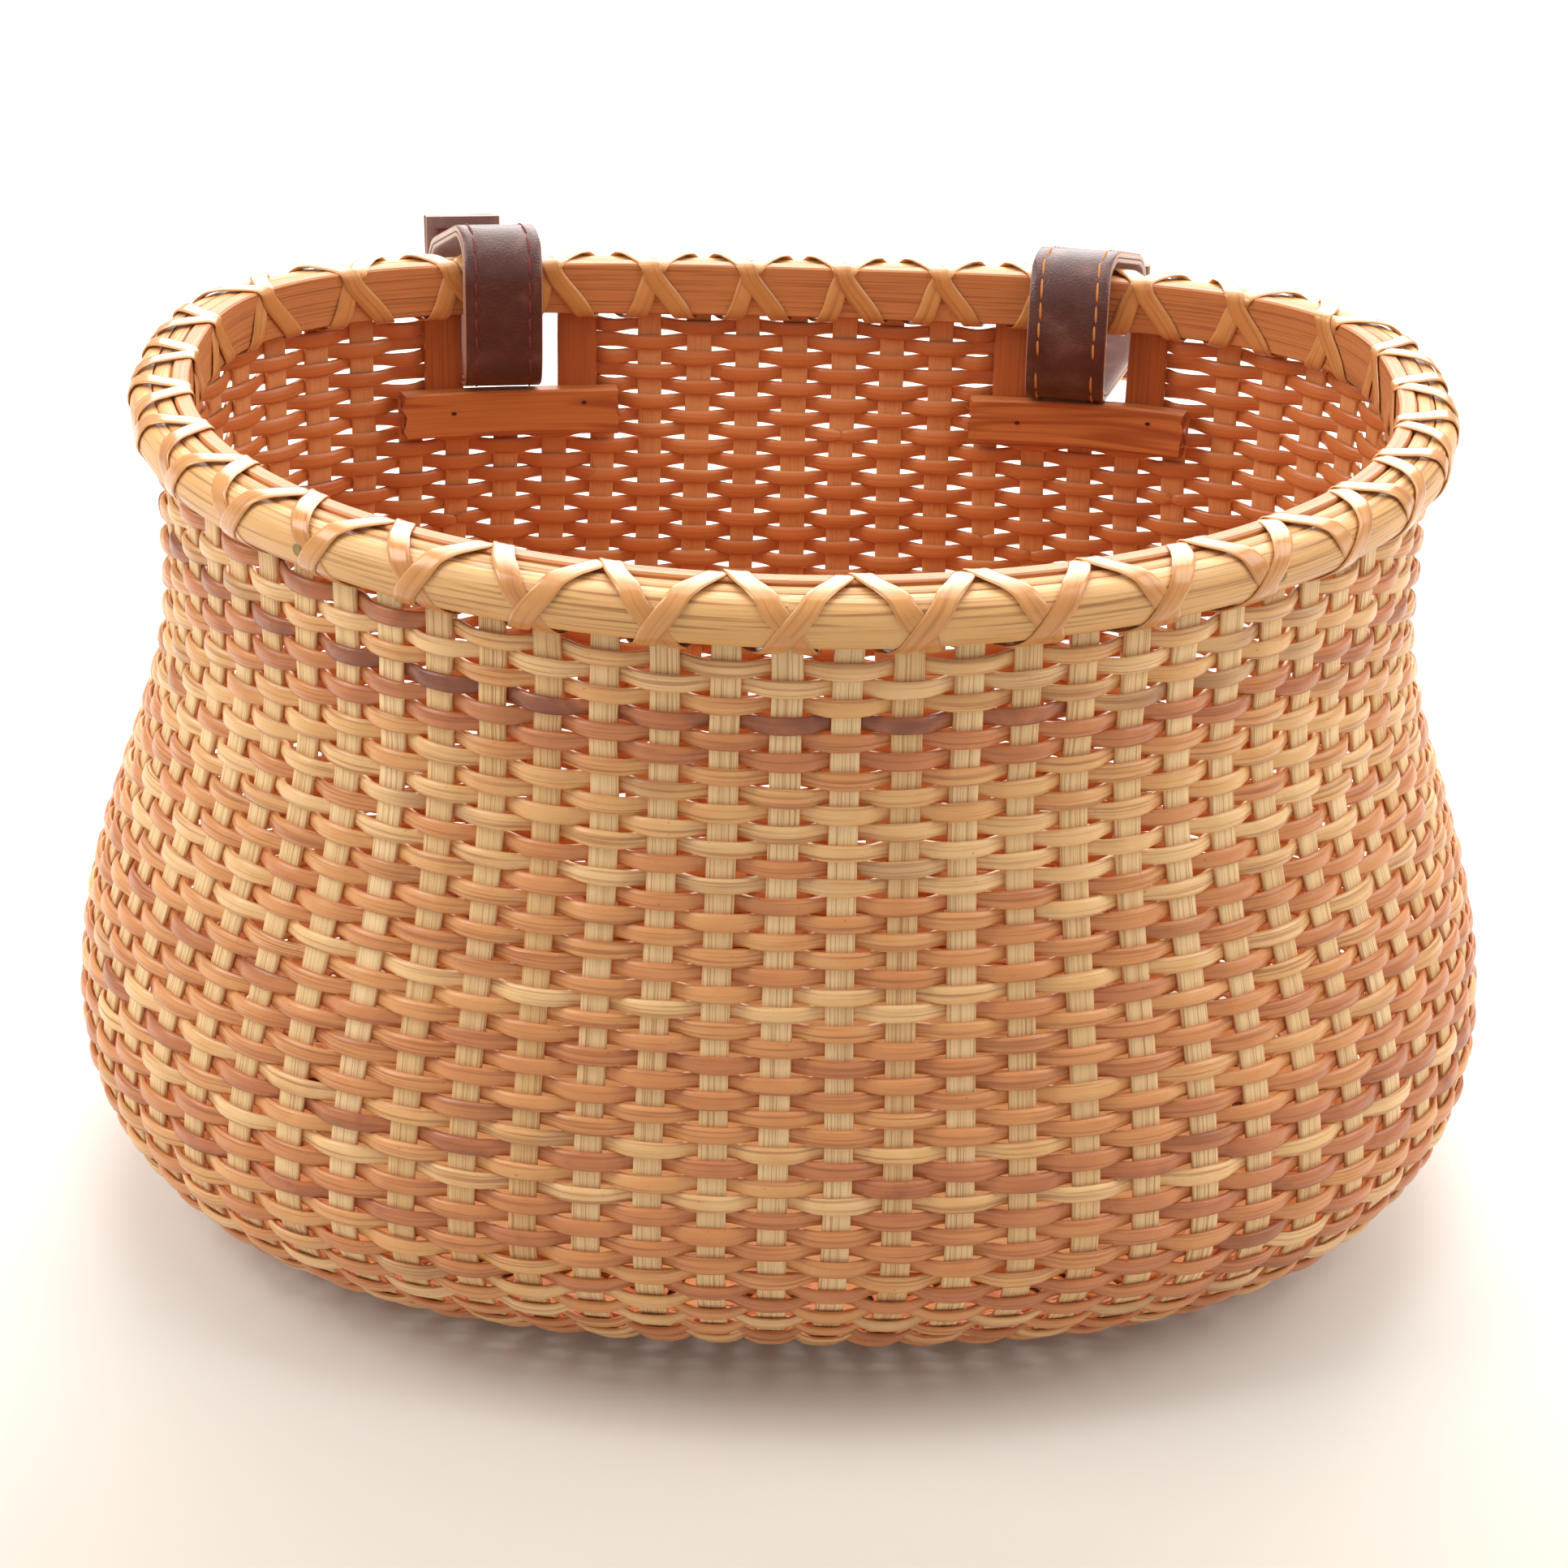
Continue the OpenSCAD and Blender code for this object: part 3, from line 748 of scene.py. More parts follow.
@dataclass
class Bowl:
    """The D-shaped wall, walked by share of the way round and by station up the wall."""

    half_w: float = 143 * MM
    front: float = 133 * MM
    back: float = 78 * MM
    widest_y: float = 27 * MM
    belly_z: float = 50 * MM
    neck_z: float = 155 * MM
    belly_grow: tuple[float, float, float] = (24 * MM, 9.5 * MM, 7 * MM)
    foot: tuple[float, float, float] = (119 * MM, 93 * MM, 64 * MM)
    groove: float = 6 * MM
    hoop_gap: float = 8.6 * MM
    mid_depth: float = 2.3 * MM
    back_power: float = 3.2
    foot_power: float = 2.7
    rim_power: float = 2.0
    staves: int = 68
    skin_under: float = 12 * MM
    rim_z: float = field(init=False)
    turns: np.ndarray = field(init=False)
    shares: np.ndarray = field(init=False)
    length: float = field(init=False)

    def __post_init__(self) -> None:
        """Takes the rim's height from its node and measures the way round, so that shares are even."""
        self.rim_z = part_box("rim_hoop_inner")[1].z
        self.turns = np.radians(np.arange(0.0, 360.5, 0.5))
        ring = self.rim(self.turns, self.hoop_gap)
        steps = np.linalg.norm(np.diff(ring, axis=0), axis=1)
        total = np.concatenate([[0.0], np.cumsum(steps)])
        self.length = float(total[-1])
        self.shares = total / self.length

    def curve(
        self, turn: np.ndarray, side: np.ndarray, front: np.ndarray, back: np.ndarray, power: np.ndarray
    ) -> np.ndarray:
        """Points of a D curve.

        Args:
            turn: Angles from the front, in radians.
            side: Half width.
            front: Depth to the front.
            back: Depth to the back.
            power: Roundness of the front part.

        Returns:
            One (x, y) row for each angle.
        """
        s, c = np.abs(np.sin(turn)), np.cos(turn)
        depth = np.where(c > 0, front, back)
        p = np.where(c > 0, power, self.back_power)
        r = ((s / side) ** p + (np.abs(c) / depth) ** p) ** (-1 / p)
        return np.stack([r * np.sin(turn), self.widest_y - r * np.cos(turn)], -1)

    def rim(self, turn: np.ndarray, out: float) -> np.ndarray:
        """Points of the rim's curve, moved outwards."""
        return self.curve(turn, self.half_w + out, self.front + out, self.back + out, self.rim_power)

    def turn(self, share: np.ndarray) -> np.ndarray:
        """Angle for a share of the way round."""
        whole = np.floor(share)
        return np.interp(share - whole, self.shares, self.turns) + 2 * math.pi * whole

    def wall(self, share: np.ndarray, station: np.ndarray) -> np.ndarray:
        """Points on the wall's outside.

        Args:
            share: Shares of the way round, 0 at the front.
            station: 0 at the foot, 1 at the belly, 2 at the neck, 3 at the skin's top.

        Returns:
            One (x, y, z) row for each pair.
        """
        share, q = np.broadcast_arrays(np.asarray(share, float), np.asarray(station, float))
        quarter = np.sin(np.clip(q, 0, 1) * math.pi / 2)
        fade = (1 + np.cos(math.pi * np.clip(q - 1, 0, 1))) / 2
        neck = (self.half_w, self.front, self.back)
        sizes = []
        for n, grow, foot in zip(neck, self.belly_grow, self.foot):
            n = n + self.hoop_gap
            low = foot + (n + grow - foot) * quarter + np.minimum(q, 0) * self.groove
            sizes.append(np.where(q < 1, low, n + grow * fade))
        power = self.rim_power + (self.foot_power - self.rim_power) * np.clip(
            1 - np.maximum(q, 0) / 2, 0, 1
        )
        top = self.rim_z - self.skin_under
        z = np.where(
            q < 1,
            self.belly_z * (1 - np.cos(np.clip(q, 0, 1) * math.pi / 2)),
            np.where(
                q < 2,
                self.belly_z + (self.neck_z - self.belly_z) * (q - 1),
                self.neck_z + (top - self.neck_z) * (q - 2),
            ),
        )
        plan = self.curve(self.turn(share), sizes[0], sizes[1], sizes[2], power)
        return np.concatenate([plan, z[..., None]], -1)

    def place(
        self, share: np.ndarray, station: np.ndarray, depth: np.ndarray | float
    ) -> tuple[np.ndarray, np.ndarray, np.ndarray, np.ndarray]:
        """Points under the wall's outside, with the directions along, up and out of the wall.

        Args:
            share: Shares of the way round.
            station: Stations up the wall.
            depth: Depth under the outside.

        Returns:
            The points, and the directions along, up and out.
        """
        ds, dq = 0.0008, 0.01
        here = self.wall(share, station)
        along = unit(self.wall(share + ds, station) - self.wall(share - ds, station))
        rise = unit(self.wall(share, station + dq) - self.wall(share, station - dq))
        out = unit(np.cross(along, rise))
        return here - out * np.asarray(depth)[..., None], along, rise, out

    def stations(self, pitch: float, top_z: float) -> np.ndarray:
        """Stations of the woven rows, evenly spaced up the wall.

        Args:
            pitch: Distance wanted between rows.
            top_z: Height of the last row's top.

        Returns:
            One station for each row.
        """
        q = np.linspace(0, 3, 900)
        lengths = []
        for share in (0.0, 0.25, 0.5):
            steps = np.linalg.norm(np.diff(self.wall(share, q), axis=0), axis=1)
            lengths.append(np.concatenate([[0.0], np.cumsum(steps)]))
        mean = np.mean(lengths, axis=0)
        end = float(np.interp(top_z, self.wall(0.0, q)[:, 2], mean))
        count = int(round(end / pitch))
        return np.interp((np.arange(count) + 0.5) * end / count, mean, q)

    def rim_place(self, share: np.ndarray) -> tuple[np.ndarray, np.ndarray, np.ndarray]:
        """Points on the rim's inner face at height 0, with the directions along and outwards.

        Args:
            share: Shares of the way round.

        Returns:
            The points, and the directions along and outwards.
        """
        share = np.asarray(share, float)
        ds = 0.0015
        flat = self.rim(self.turn(share), 0.0)
        step = unit(self.rim(self.turn(share + ds), 0.0) - self.rim(self.turn(share - ds), 0.0))
        zero = np.zeros(flat.shape[:-1] + (1,))
        along = np.concatenate([step, zero], -1)
        out = np.stack([step[..., 1], -step[..., 0], zero[..., 0]], -1)
        return np.concatenate([flat, zero], -1), along, out

    def share_at(self, x: float) -> float:
        """Share of the way round at a place across the back."""
        return float(np.interp(-x, -self.rim_place(BACK_SHARES)[0][:, 0], BACK_SHARES))


UP = np.array([0.0, 0.0, 1.0])


@dataclass
class Slot:
    """A strap slot in the back wall: its place, its posts and its crossbar."""

    bowl: Bowl
    side: Side
    across: float = 74 * MM
    window_w: float = 27 * MM
    post_w: float = 10.2 * MM
    post_t: float = 2.2 * MM
    post_out: float = 4.7 * MM
    bar_w: float = 61 * MM
    bar_t: float = 4.4 * MM
    bar_out: float = 1.7 * MM
    bevel: float = 0.5 * MM
    post_sink: float = 0.5 * MM
    post_under: float = 5 * MM
    post_bow: float = 0.25 * MM
    frays: int = 5
    fray_half: tuple[float, float] = (0.28 * MM, 0.16 * MM)
    brad_half: tuple[float, float] = (0.65 * MM, 0.45 * MM)
    bar_tones: tuple[float, float] = (0.3, 0.62)

    def __post_init__(self) -> None:
        """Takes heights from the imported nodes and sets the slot's frame."""
        low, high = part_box(f"slot_{self.side.word}_crossbar")
        self.bar_low, self.floor = low.z, high.z
        x = self.side.value * self.across
        reach = (abs(x) / self.bowl.half_w) ** self.bowl.back_power
        y = self.bowl.widest_y + self.bowl.back * (1 - reach) ** (1 / self.bowl.back_power)
        slope = (
            self.bowl.back / self.bowl.half_w
            * (abs(x) / self.bowl.half_w) ** (self.bowl.back_power - 1)
            * (1 - reach) ** (1 / self.bowl.back_power - 1)
        )
        turn = -self.side.value * math.atan(slope)
        self.origin = np.array([x, y, 0.0])
        self.along = np.array([math.cos(turn), math.sin(turn), 0.0])
        self.out = np.array([-math.sin(turn), math.cos(turn), 0.0])

    def at(self, across: np.ndarray, out: np.ndarray, height: np.ndarray) -> np.ndarray:
        """Points from places across the slot, outwards and up.

        Args:
            across: Distance from the slot's middle.
            out: Distance out of the wall.
            height: Height above the floor.

        Returns:
            One (x, y, z) row for each place.
        """
        across, out, height = np.broadcast_arrays(
            np.asarray(across, float), np.asarray(out, float), np.asarray(height, float)
        )
        return (
            self.origin + across[..., None] * self.along + out[..., None] * self.out
            + height[..., None] * UP
        )

    def curved(self, across: np.ndarray, out: float, height: np.ndarray) -> tuple[np.ndarray, ...]:
        """Points that follow the rim's bend, with the directions along and out.

        Args:
            across: Distance from the slot's middle.
            out: Distance out of the rim's inner face.
            height: Height above the floor.

        Returns:
            The points, and the directions along and outwards.
        """
        middle = self.bowl.share_at(self.origin[0])
        share = middle - np.asarray(across) / self.bowl.length
        flat, along, outward = self.bowl.rim_place(share)
        return flat + outward * out + np.asarray(height)[..., None] * UP, along, outward

    def build(self, finishes: dict[str, bpy.types.Material]) -> list[bpy.types.Object]:
        """Makes the posts, the crossbar and its brads.

        Args:
            finishes: Materials by name.

        Returns:
            The new pieces.
        """
        made = []
        word = self.side.word
        rng = np.random.default_rng(31 + self.side.value)
        for label, end in (("outer", self.side.value), ("inner", -self.side.value)):
            sheaf = Sheaf()
            z = np.linspace(self.bar_low + self.post_sink, self.bowl.rim_z - self.post_under, 14)
            centre = end * (self.window_w + self.post_w) / 2
            bend = self.post_bow * np.sin(np.linspace(0, math.pi, len(z)))
            path, along, out = self.curved(np.full(len(z), centre), self.post_out, z)
            path = path - out * bend[:, None]
            wide = 1 + 0.02 * wander(z, rng, 3, 0.05)
            sheaf.sweep(
                path, along, out, bar_outline(self.post_w, self.post_t, self.bevel, 3),
                tone=rng.uniform(0.3, 0.7), width=wide,
            )
            post = sheaf.build(f"slot_{word}_{label}_post_strip", finishes["post"])
            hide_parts(f"slot_{word}_{label}_post")
            made.append(post)
        made.append(self.crossbar(finishes["crossbar"], rng))
        made.append(self.brads(finishes["brad"]))
        return made

    def brads(self, finish: bpy.types.Material) -> bpy.types.Object:
        """Makes the two small nails whose heads sit in the crossbar.

        Args:
            finish: The brads' material.

        Returns:
            The brad heads, as one piece.
        """
        sheaf = Sheaf()
        for end in (-1, 1):
            across = np.full(4, end * (self.window_w + self.post_w) / 2 + 2 * MM)
            height = np.full(4, self.bar_low + (0.62 + 0.1 * end) * (self.floor - self.bar_low))
            flat, along, out = self.curved(across, 0.0, height)
            depth = np.array([-0.75, -0.7, 0.5, 3.5]) * MM
            path = flat + out * depth[:, None]
            sheaf.sweep(path, along, np.tile(UP, (4, 1)), oval(*self.brad_half, 12, 1.0))
        word = self.side.word
        made = sheaf.build(f"slot_{word}_brad_heads", finish)
        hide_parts(f"slot_{word}_brads")
        return made

    def crossbar(self, finish: bpy.types.Material, rng: np.random.Generator) -> bpy.types.Object:
        """Makes the crossbar with its rough sawn ends.

        Args:
            finish: The crossbar's material.
            rng: Random source.

        Returns:
            The crossbar.
        """
        sheaf = Sheaf()
        height = self.floor - self.bar_low
        across = np.linspace(-self.bar_w / 2, self.bar_w / 2, 30)
        middle = np.full(len(across), self.bar_low + height / 2)
        tilt = 0.35 * MM * np.sin(across / self.bar_w * 3 + self.side.value)
        path, along, out = self.curved(across, self.bar_out, middle + tilt)
        outline = bar_outline(height, self.bar_t, self.bevel, 6)
        wide = 1 + 0.012 * wander(across, rng, 3, 0.04)
        sheaf.sweep(
            path, np.tile(UP, (len(path), 1)), out, outline,
            tone=self.bar_tones[self.side is Side.RIGHT], width=wide,
        )
        m = len(outline)
        ragged = rng.uniform(-0.6, 0.3, m)[:, None] * MM
        sheaf.points[0][:m] += along[:1] * ragged * 1.2
        sheaf.points[0][-m:] -= along[-1:] * np.roll(ragged, 5, 0)
        for end in (-1, 1):
            for _ in range(self.frays):
                z = self.bar_low + rng.uniform(0.15, 0.75) * height
                out_at = rng.uniform(-0.3, 1.6) * MM
                run = np.linspace(0, rng.uniform(1.2, 3.0), 5) * MM
                a = end * (self.bar_w / 2 - 0.8 * MM) + end * run
                drop = z + rng.uniform(-1, 1) * run * 0.5
                fibre, _, outward = self.curved(a, out_at, drop)
                sheaf.sweep(
                    fibre, np.tile(UP, (5, 1)), outward, oval(*self.fray_half, 6),
                    tone=0.5, width=np.linspace(1, 0.2, 5), depth=np.linspace(1, 0.3, 5),
                )
        bar = sheaf.build(f"slot_{self.side.word}_crossbar_plank", finish, 35)
        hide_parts(f"slot_{self.side.word}_crossbar")
        return bar


@dataclass
class Weave:
    """The bowl's woven wall: reeds over and under flat staves."""

    bowl: Bowl
    slots: list[Slot]
    pitch: float = 4.1 * MM
    reed_h: float = 4.2 * MM
    reed_t: float = 1.75 * MM
    stave_w: float = 6.4 * MM
    stave_t: float = 1.4 * MM
    per_stave: int = 6
    slot_station: float = 2.6
    power: float = 0.78
    crown: float = 1.25
    cut_past: float = 3.5 * MM
    rise_wander: float = 0.32 * MM
    depth_wander: float = 0.08 * MM
    twist: float = 0.10
    blunt: float = 0.55
    beside_posts: float = 0.9
    top_gap: float = 16.2 * MM
    straight: tuple[float, float] = (22 * MM, 27 * MM)
    blocked: float = 27.5 * MM
    stave_tops: tuple[float, float] = (2.30, 3.2)
    pale_share: float = 0.25
    dark_share: float = 0.05
    pale_tones: tuple[float, float] = (0.72, 1.0)
    mid_tones: tuple[float, float] = (0.25, 0.70)
    dark_tones: tuple[float, float] = (0.0, 0.14)
    zones: tuple[tuple[str, float], ...] = (
        ("foot", 0.6), ("belly", 1.25), ("shoulder", 2.0), ("neck", 3.1),
    )

    def near_slot(self, share: np.ndarray) -> tuple[np.ndarray, np.ndarray]:
        """Distance across from the nearest slot's middle, and whether the place is at the back.

        Args:
            share: Shares of the way round.

        Returns:
            The distances, and True where the place is at the back.
        """
        wall = self.bowl.wall(share, self.slot_station)
        apart = [np.abs((wall - slot.origin) @ slot.along) for slot in self.slots]
        return np.minimum(*apart), wall[..., 1] > self.bowl.widest_y

    def share_across(self, slot: Slot, across: float) -> float:
        """Share of the way round where the wall is this far across a slot.

        Args:
            slot: The slot.
            across: Distance from the slot's middle.

        Returns:
            The share.
        """
        places = (self.bowl.wall(BACK_SHARES, self.slot_station) - slot.origin) @ slot.along
        return float(np.interp(-across, -places, BACK_SHARES))

    def lengths(self, row: int, station: float, rng: np.random.Generator) -> list[tuple[float, float]]:
        """Start and end of each reed in a row, counted in staves.

        Args:
            row: Number of the row.
            station: Height of the row.
            rng: Random source.

        Returns:
            Pairs of stave numbers, the second more than the first.
        """
        count = self.bowl.staves
        z = float(self.bowl.wall(0.5, station)[2])
        cuts: list[tuple[float, float]] = []
        if z > self.slots[0].floor - self.reed_h / 2:
            for slot in self.slots:
                half = slot.window_w / 2 + self.cut_past
                cuts.append(tuple(self.share_across(slot, edge) * count for edge in (half, -half)))
        cuts.sort()
        if cuts:
            free = [(cuts[0][1], cuts[1][0]), (cuts[1][1], cuts[0][0] + count)]
        else:
            start = row % 2 + 1 + 2 * int(rng.integers(0, count // 2))
            free = [(start, start + count + 0.5)]
        made: list[tuple[float, float]] = []
        for low, high in free:
            at = low
            while high - at > 0.01:
                span = rng.integers(4, 22) * 2
                end = at + span
                if cuts:
                    end = 2 * math.floor(end / 2) + (row + 1) % 2
                if high - end < 6:
                    end = high
                made.append((at, end))
                at = end
        return made

    def build(self, reed: bpy.types.Material) -> list[bpy.types.Object]:
        """Makes the four bands of woven reeds.

        Args:
            reed: The reeds' material.

        Returns:
            The four bands.
        """
        rng = np.random.default_rng(7)
        stations = self.bowl.stations(self.pitch, self.bowl.rim_z - self.top_gap)
        sheaves = {name: Sheaf() for name, _ in self.zones}
        outline = oval(self.reed_h / 2, self.reed_t / 2, 12, self.power)
        # Faces into the basket, marked for painted bounce light.
        painted_glow_faces = (outline[:, 1] < -0.1 * MM).astype(float) * 0.85
        for row, station in enumerate(stations):
            name = next(label for label, top in self.zones if station < top)
            for low, high in self.lengths(row, float(station), rng):
                self.reed(sheaves[name], row, float(station), low, high, outline, painted_glow_faces, rng)
        made = []
        for name, sheaf in sheaves.items():
            band = sheaf.build(f"weave_{name}_reeds", reed, 80)
            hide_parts(f"weave_{name}")
            made.append(band)
        log.info("weave: %d rows", len(stations))
        return made

    def reed(
        self, sheaf: Sheaf, row: int, station: float, low: float, high: float,
        outline: np.ndarray, painted_glow_faces: np.ndarray, rng: np.random.Generator,
    ) -> None:
        """Adds one length of reed, in front of one stave and behind the next.

        Args:
            sheaf: Band that gets the reed.
            row: Number of the row.
            station: Height of the row.
            low: Start, counted in staves.
            high: End, counted in staves.
            outline: The reed's outline.
            painted_glow_faces: Marks the outline's points that face into the basket.
            rng: Random source.
        """
        count = self.bowl.staves
        n = max(8, int(round((high - low) * self.per_stave)) + 1)
        x = np.linspace(low, high, n)
        share = x / count
        beat = np.cos(math.pi * (x + row))
        weave = np.tanh(self.crown * beat) / math.tanh(self.crown)
        apart, back = self.near_slot(share)
        z = float(self.bowl.wall(0.5, station)[2])
        if z > self.slots[0].floor - self.reed_h / 2:
            guard = (1 - smooth(apart, *self.straight)) * back
            weave = weave * (1 - guard) + self.beside_posts * guard
        swing = (self.stave_t + self.reed_t) / 2
        along_m = x * self.bowl.length / count
        lift = self.rise_wander * wander(along_m, rng, 3, 0.14)
        uneven = self.depth_wander * wander(along_m, rng, 2, 0.05)
        depth = self.bowl.mid_depth - weave * swing + uneven
        path, _, rise, _ = self.bowl.place(share, np.full(n, station), depth)
        path = path + rise * lift[:, None]
        ahead = unit(np.gradient(path, axis=0))
        side = unit(rise - ahead * np.sum(rise * ahead, 1, keepdims=True))
        face = np.cross(ahead, side)
        roll = self.twist * wander(along_m, rng, 2, 0.09)[:, None]
        across = side * np.cos(roll) + face * np.sin(roll)
        outward = face * np.cos(roll) - side * np.sin(roll)
        ends = np.minimum(smooth(x, low, low + 0.25), 1 - smooth(x, high - 0.25, high))
        taper = self.blunt + (1 - self.blunt) * ends
        front = 0.94 + 0.08 * np.abs(beat)
        width = rng.uniform(0.90, 1.05) * (1 + 0.06 * wander(along_m, rng, 3, 0.035)) * taper * front
        depth_scale = rng.uniform(0.90, 1.08) * taper
        pale = rng.random() < self.pale_share
        tone = float(rng.uniform(*(self.pale_tones if pale else self.mid_tones)))
        if rng.random() < self.dark_share:
            tone = rng.uniform(*self.dark_tones)
        sheaf.sweep(
            path, across, outward, outline, tone=tone, width=width, depth=depth_scale,
            edge=painted_glow_faces, offset=float(rng.uniform(0, 9)),
        )

    def build_staves(self, finish: bpy.types.Material) -> list[bpy.types.Object]:
        """Makes the flat staves, one object for each quarter.

        Args:
            finish: The staves' material.

        Returns:
            The four pieces.
        """
        rng = np.random.default_rng(11)
        made = []
        per = self.bowl.staves // 4
        outline = bar_outline(self.stave_w, self.stave_t, 0.35 * MM, 4)
        # Faces into the basket, marked for painted bounce light.
        painted_glow_faces = (outline[:, 1] < 0).astype(float) * 0.8
        for quarter, word in enumerate(("front", "right", "back", "left")):
            sheaf = Sheaf()
            for i in range(per):
                number = quarter * per + i - per // 2
                share = number / self.bowl.staves + 1
                apart, back = self.near_slot(np.array([share]))
                blocked = bool(back[0]) and apart[0] < self.blocked
                top = self.stave_tops[0 if blocked else 1]
                q = np.concatenate([np.linspace(-1, 0, 3)[:-1], np.linspace(0, top, 46)])
                drift = 0.00035 * wander(q, rng, 3, 2.0)
                depth = self.bowl.mid_depth + 0.12 * MM * wander(q, rng, 2, 0.6)
                path, along, _, out = self.bowl.place(share + drift, q, depth)
                low = np.maximum(0, self.stave_t / 2 + 3.3 * MM - path[:, 2]) * (q < 0.1)
                path[:, 2] += low
                wide = (1 + 0.02 * wander(q, rng, 3, 0.8)) * rng.uniform(0.95, 1.05)
                sheaf.sweep(
                    path, -along, out, outline, tone=float(rng.uniform(0.1, 0.95)), width=wide,
                    edge=painted_glow_faces, offset=float(rng.uniform(0, 9)),
                )
            piece = sheaf.build(f"staves_{word}_strips", finish)
            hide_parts(f"staves_{word}")
            made.append(piece)
        return made


@dataclass
class Rim:
    """Two hoops with a filler between them, lashed together with cane."""

    bowl: Bowl
    turns: int = 32
    bunching: float = 0.03
    inner_slant: float = 0.07
    cane_w: float = 4.8 * MM
    cane_t: float = 0.75 * MM
    samples: int = 480
    flat_size: tuple[float, float] = (13.5 * MM, 4 * MM)
    flat_place: tuple[float, float] = (2 * MM, 6.75 * MM)
    dome_half: float = 5.5
    dome_rise: float = 4.3
    dome_place: tuple[float, float] = (8.6 * MM, 6.5 * MM)
    filler_half: tuple[float, float] = (3.2 * MM, 2.25 * MM)
    filler_place: tuple[float, float] = (6.3 * MM, 3.75 * MM)
    cross_lift: float = 0.8
    cross_run: float = 0.085
    uneven: float = 0.16 * MM

    def ring(self, out: float, z: float, rng: np.random.Generator) -> tuple[np.ndarray, np.ndarray]:
        """A closed path round the rim, slightly uneven, with its outward directions.

        Args:
            out: Distance out of the rim's inner face.
            z: Height above the floor.
            rng: Random source.

        Returns:
            The path and its outward directions.
        """
        share = np.linspace(0, 1, self.samples, endpoint=False)
        flat, _, outward = self.bowl.rim_place(share)
        wave = wander(share, rng, 1, 0.5) + wander(share, rng, 1, 0.125) * 0.4
        path = flat + outward * out + UP * (z + self.uneven * wave[:, None])
        return path, outward

    def hoop(
        self, name: str, node: str, place: tuple[float, float], outline: np.ndarray,
        finish: bpy.types.Material, seed: int,
    ) -> bpy.types.Object:
        """Makes one hoop from its outline, given as (up, outwards) pairs.

        Args:
            name: Name of the piece.
            node: Node that it replaces.
            place: Distance out of the rim's inner face and below its top.
            outline: The outline.
            finish: The hoop's material.
            seed: Seed of its unevenness.

        Returns:
            The hoop.
        """
        rng = np.random.default_rng(seed)
        path, outward = self.ring(place[0], self.bowl.rim_z - place[1], rng)
        sheaf = Sheaf()
        share = np.linspace(0, 1, self.samples, endpoint=False)
        wide = 1 + 0.012 * wander(share, rng, 1, 0.1)
        sheaf.sweep(
            path, np.tile(UP, (len(path), 1)), outward, outline, tone=0.55, width=wide, closed=True
        )
        made = sheaf.build(name, finish, 38)
        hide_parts(node)
        return made

    def build(self, finishes: dict[str, bpy.types.Material]) -> list[bpy.types.Object]:
        """Makes the hoops, the filler and both lashing canes.

        Args:
            finishes: Materials by name.

        Returns:
            The new pieces.
        """
        flat = bar_outline(*self.flat_size, 0.45 * MM, 6)
        half = np.radians(np.linspace(-90, 90, 15))
        rise = 0.9 + self.dome_rise * np.cos(half) ** 0.8
        dome = np.stack([self.dome_half * np.sin(half), rise], 1) * MM
        side = self.dome_half * MM
        round_ = np.concatenate([[[-side, 0.0]], dome, [[side, 0.0]]])[::-1]
        reed = oval(*self.filler_half, 16, 0.5)
        made = [
            self.hoop("rim_hoop_inner_band", "rim_hoop_inner", self.flat_place, flat,
                      finishes["hoop_flat"], 3),
            self.hoop("rim_hoop_outer_half_round", "rim_hoop_outer", self.dome_place,
                      round_, finishes["hoop_round"], 4),
            self.hoop("rim_filler_reed", "rim_filler", self.filler_place, reed,
                      finishes["filler"], 5),
        ]
        for name, node, way in (
            ("rim_lashing_cane", "rim_lashing", 1),
            ("rim_lashing_return_cane", "rim_lashing_return", -1),
        ):
            made.append(self.lashing(name, node, way, finishes["cane"]))
        return made

    def section(self) -> tuple[np.ndarray, np.ndarray]:
        """The cane's way round the rim's section, and how far along the rim it has got.

        Returns:
            Points (outwards, up from the rim's top), and shares of one turn.
        """
        spots = [
            # outwards, below the rim's top, share of one turn
            (14.10, -7.6, 0.000), (14.2, -5.6, 0.055), (13.6, -2.7, 0.135),
            (11.8, -0.5, 0.190), (9.0, 0.35, 0.270), (5.6, 0.40, 0.350), (2.0, 0.40, 0.420),
            (0.1, 0.32, 0.455), (-0.50, -0.5, 0.475), (-0.55, -3.0, 0.508), (-0.55, -8.0, 0.620),
            (-0.50, -12.6, 0.718), (0.4, -14.3, 0.755), (3.4, -14.9, 0.800), (6.8, -14.6, 0.845),
            (9.2, -13.6, 0.875), (11.8, -11.9, 0.910), (13.5, -9.8, 0.950),
        ]
        raw = np.array(spots)
        closed = np.vstack([raw, [[raw[0, 0], raw[0, 1], 1.0]]])
        steps = np.linalg.norm(np.diff(closed[:, :2], axis=0), axis=1)
        knots = np.concatenate([[0.0], np.cumsum(steps)])
        knots /= knots[-1]
        fine = np.linspace(0, 1, 64, endpoint=False)
        once = np.array([0, 0, 1])
        periodic = np.vstack([closed[:-1] - once, closed[:-1], closed[:-1] + once, closed[-1:] + once])
        spread = np.concatenate([knots[:-1] - 1, knots[:-1], knots[:-1] + 1, [2.0]])
        curve = np.stack([np.interp(fine, spread, periodic[:, k]) for k in range(3)], 1)
        for _ in range(2):
            bent = curve[:, :2]
            curve[:, :2] = 0.5 * bent + 0.25 * (np.roll(bent, 1, 0) + np.roll(bent, -1, 0))
        return curve[:, :2] * MM, curve[:, 2]

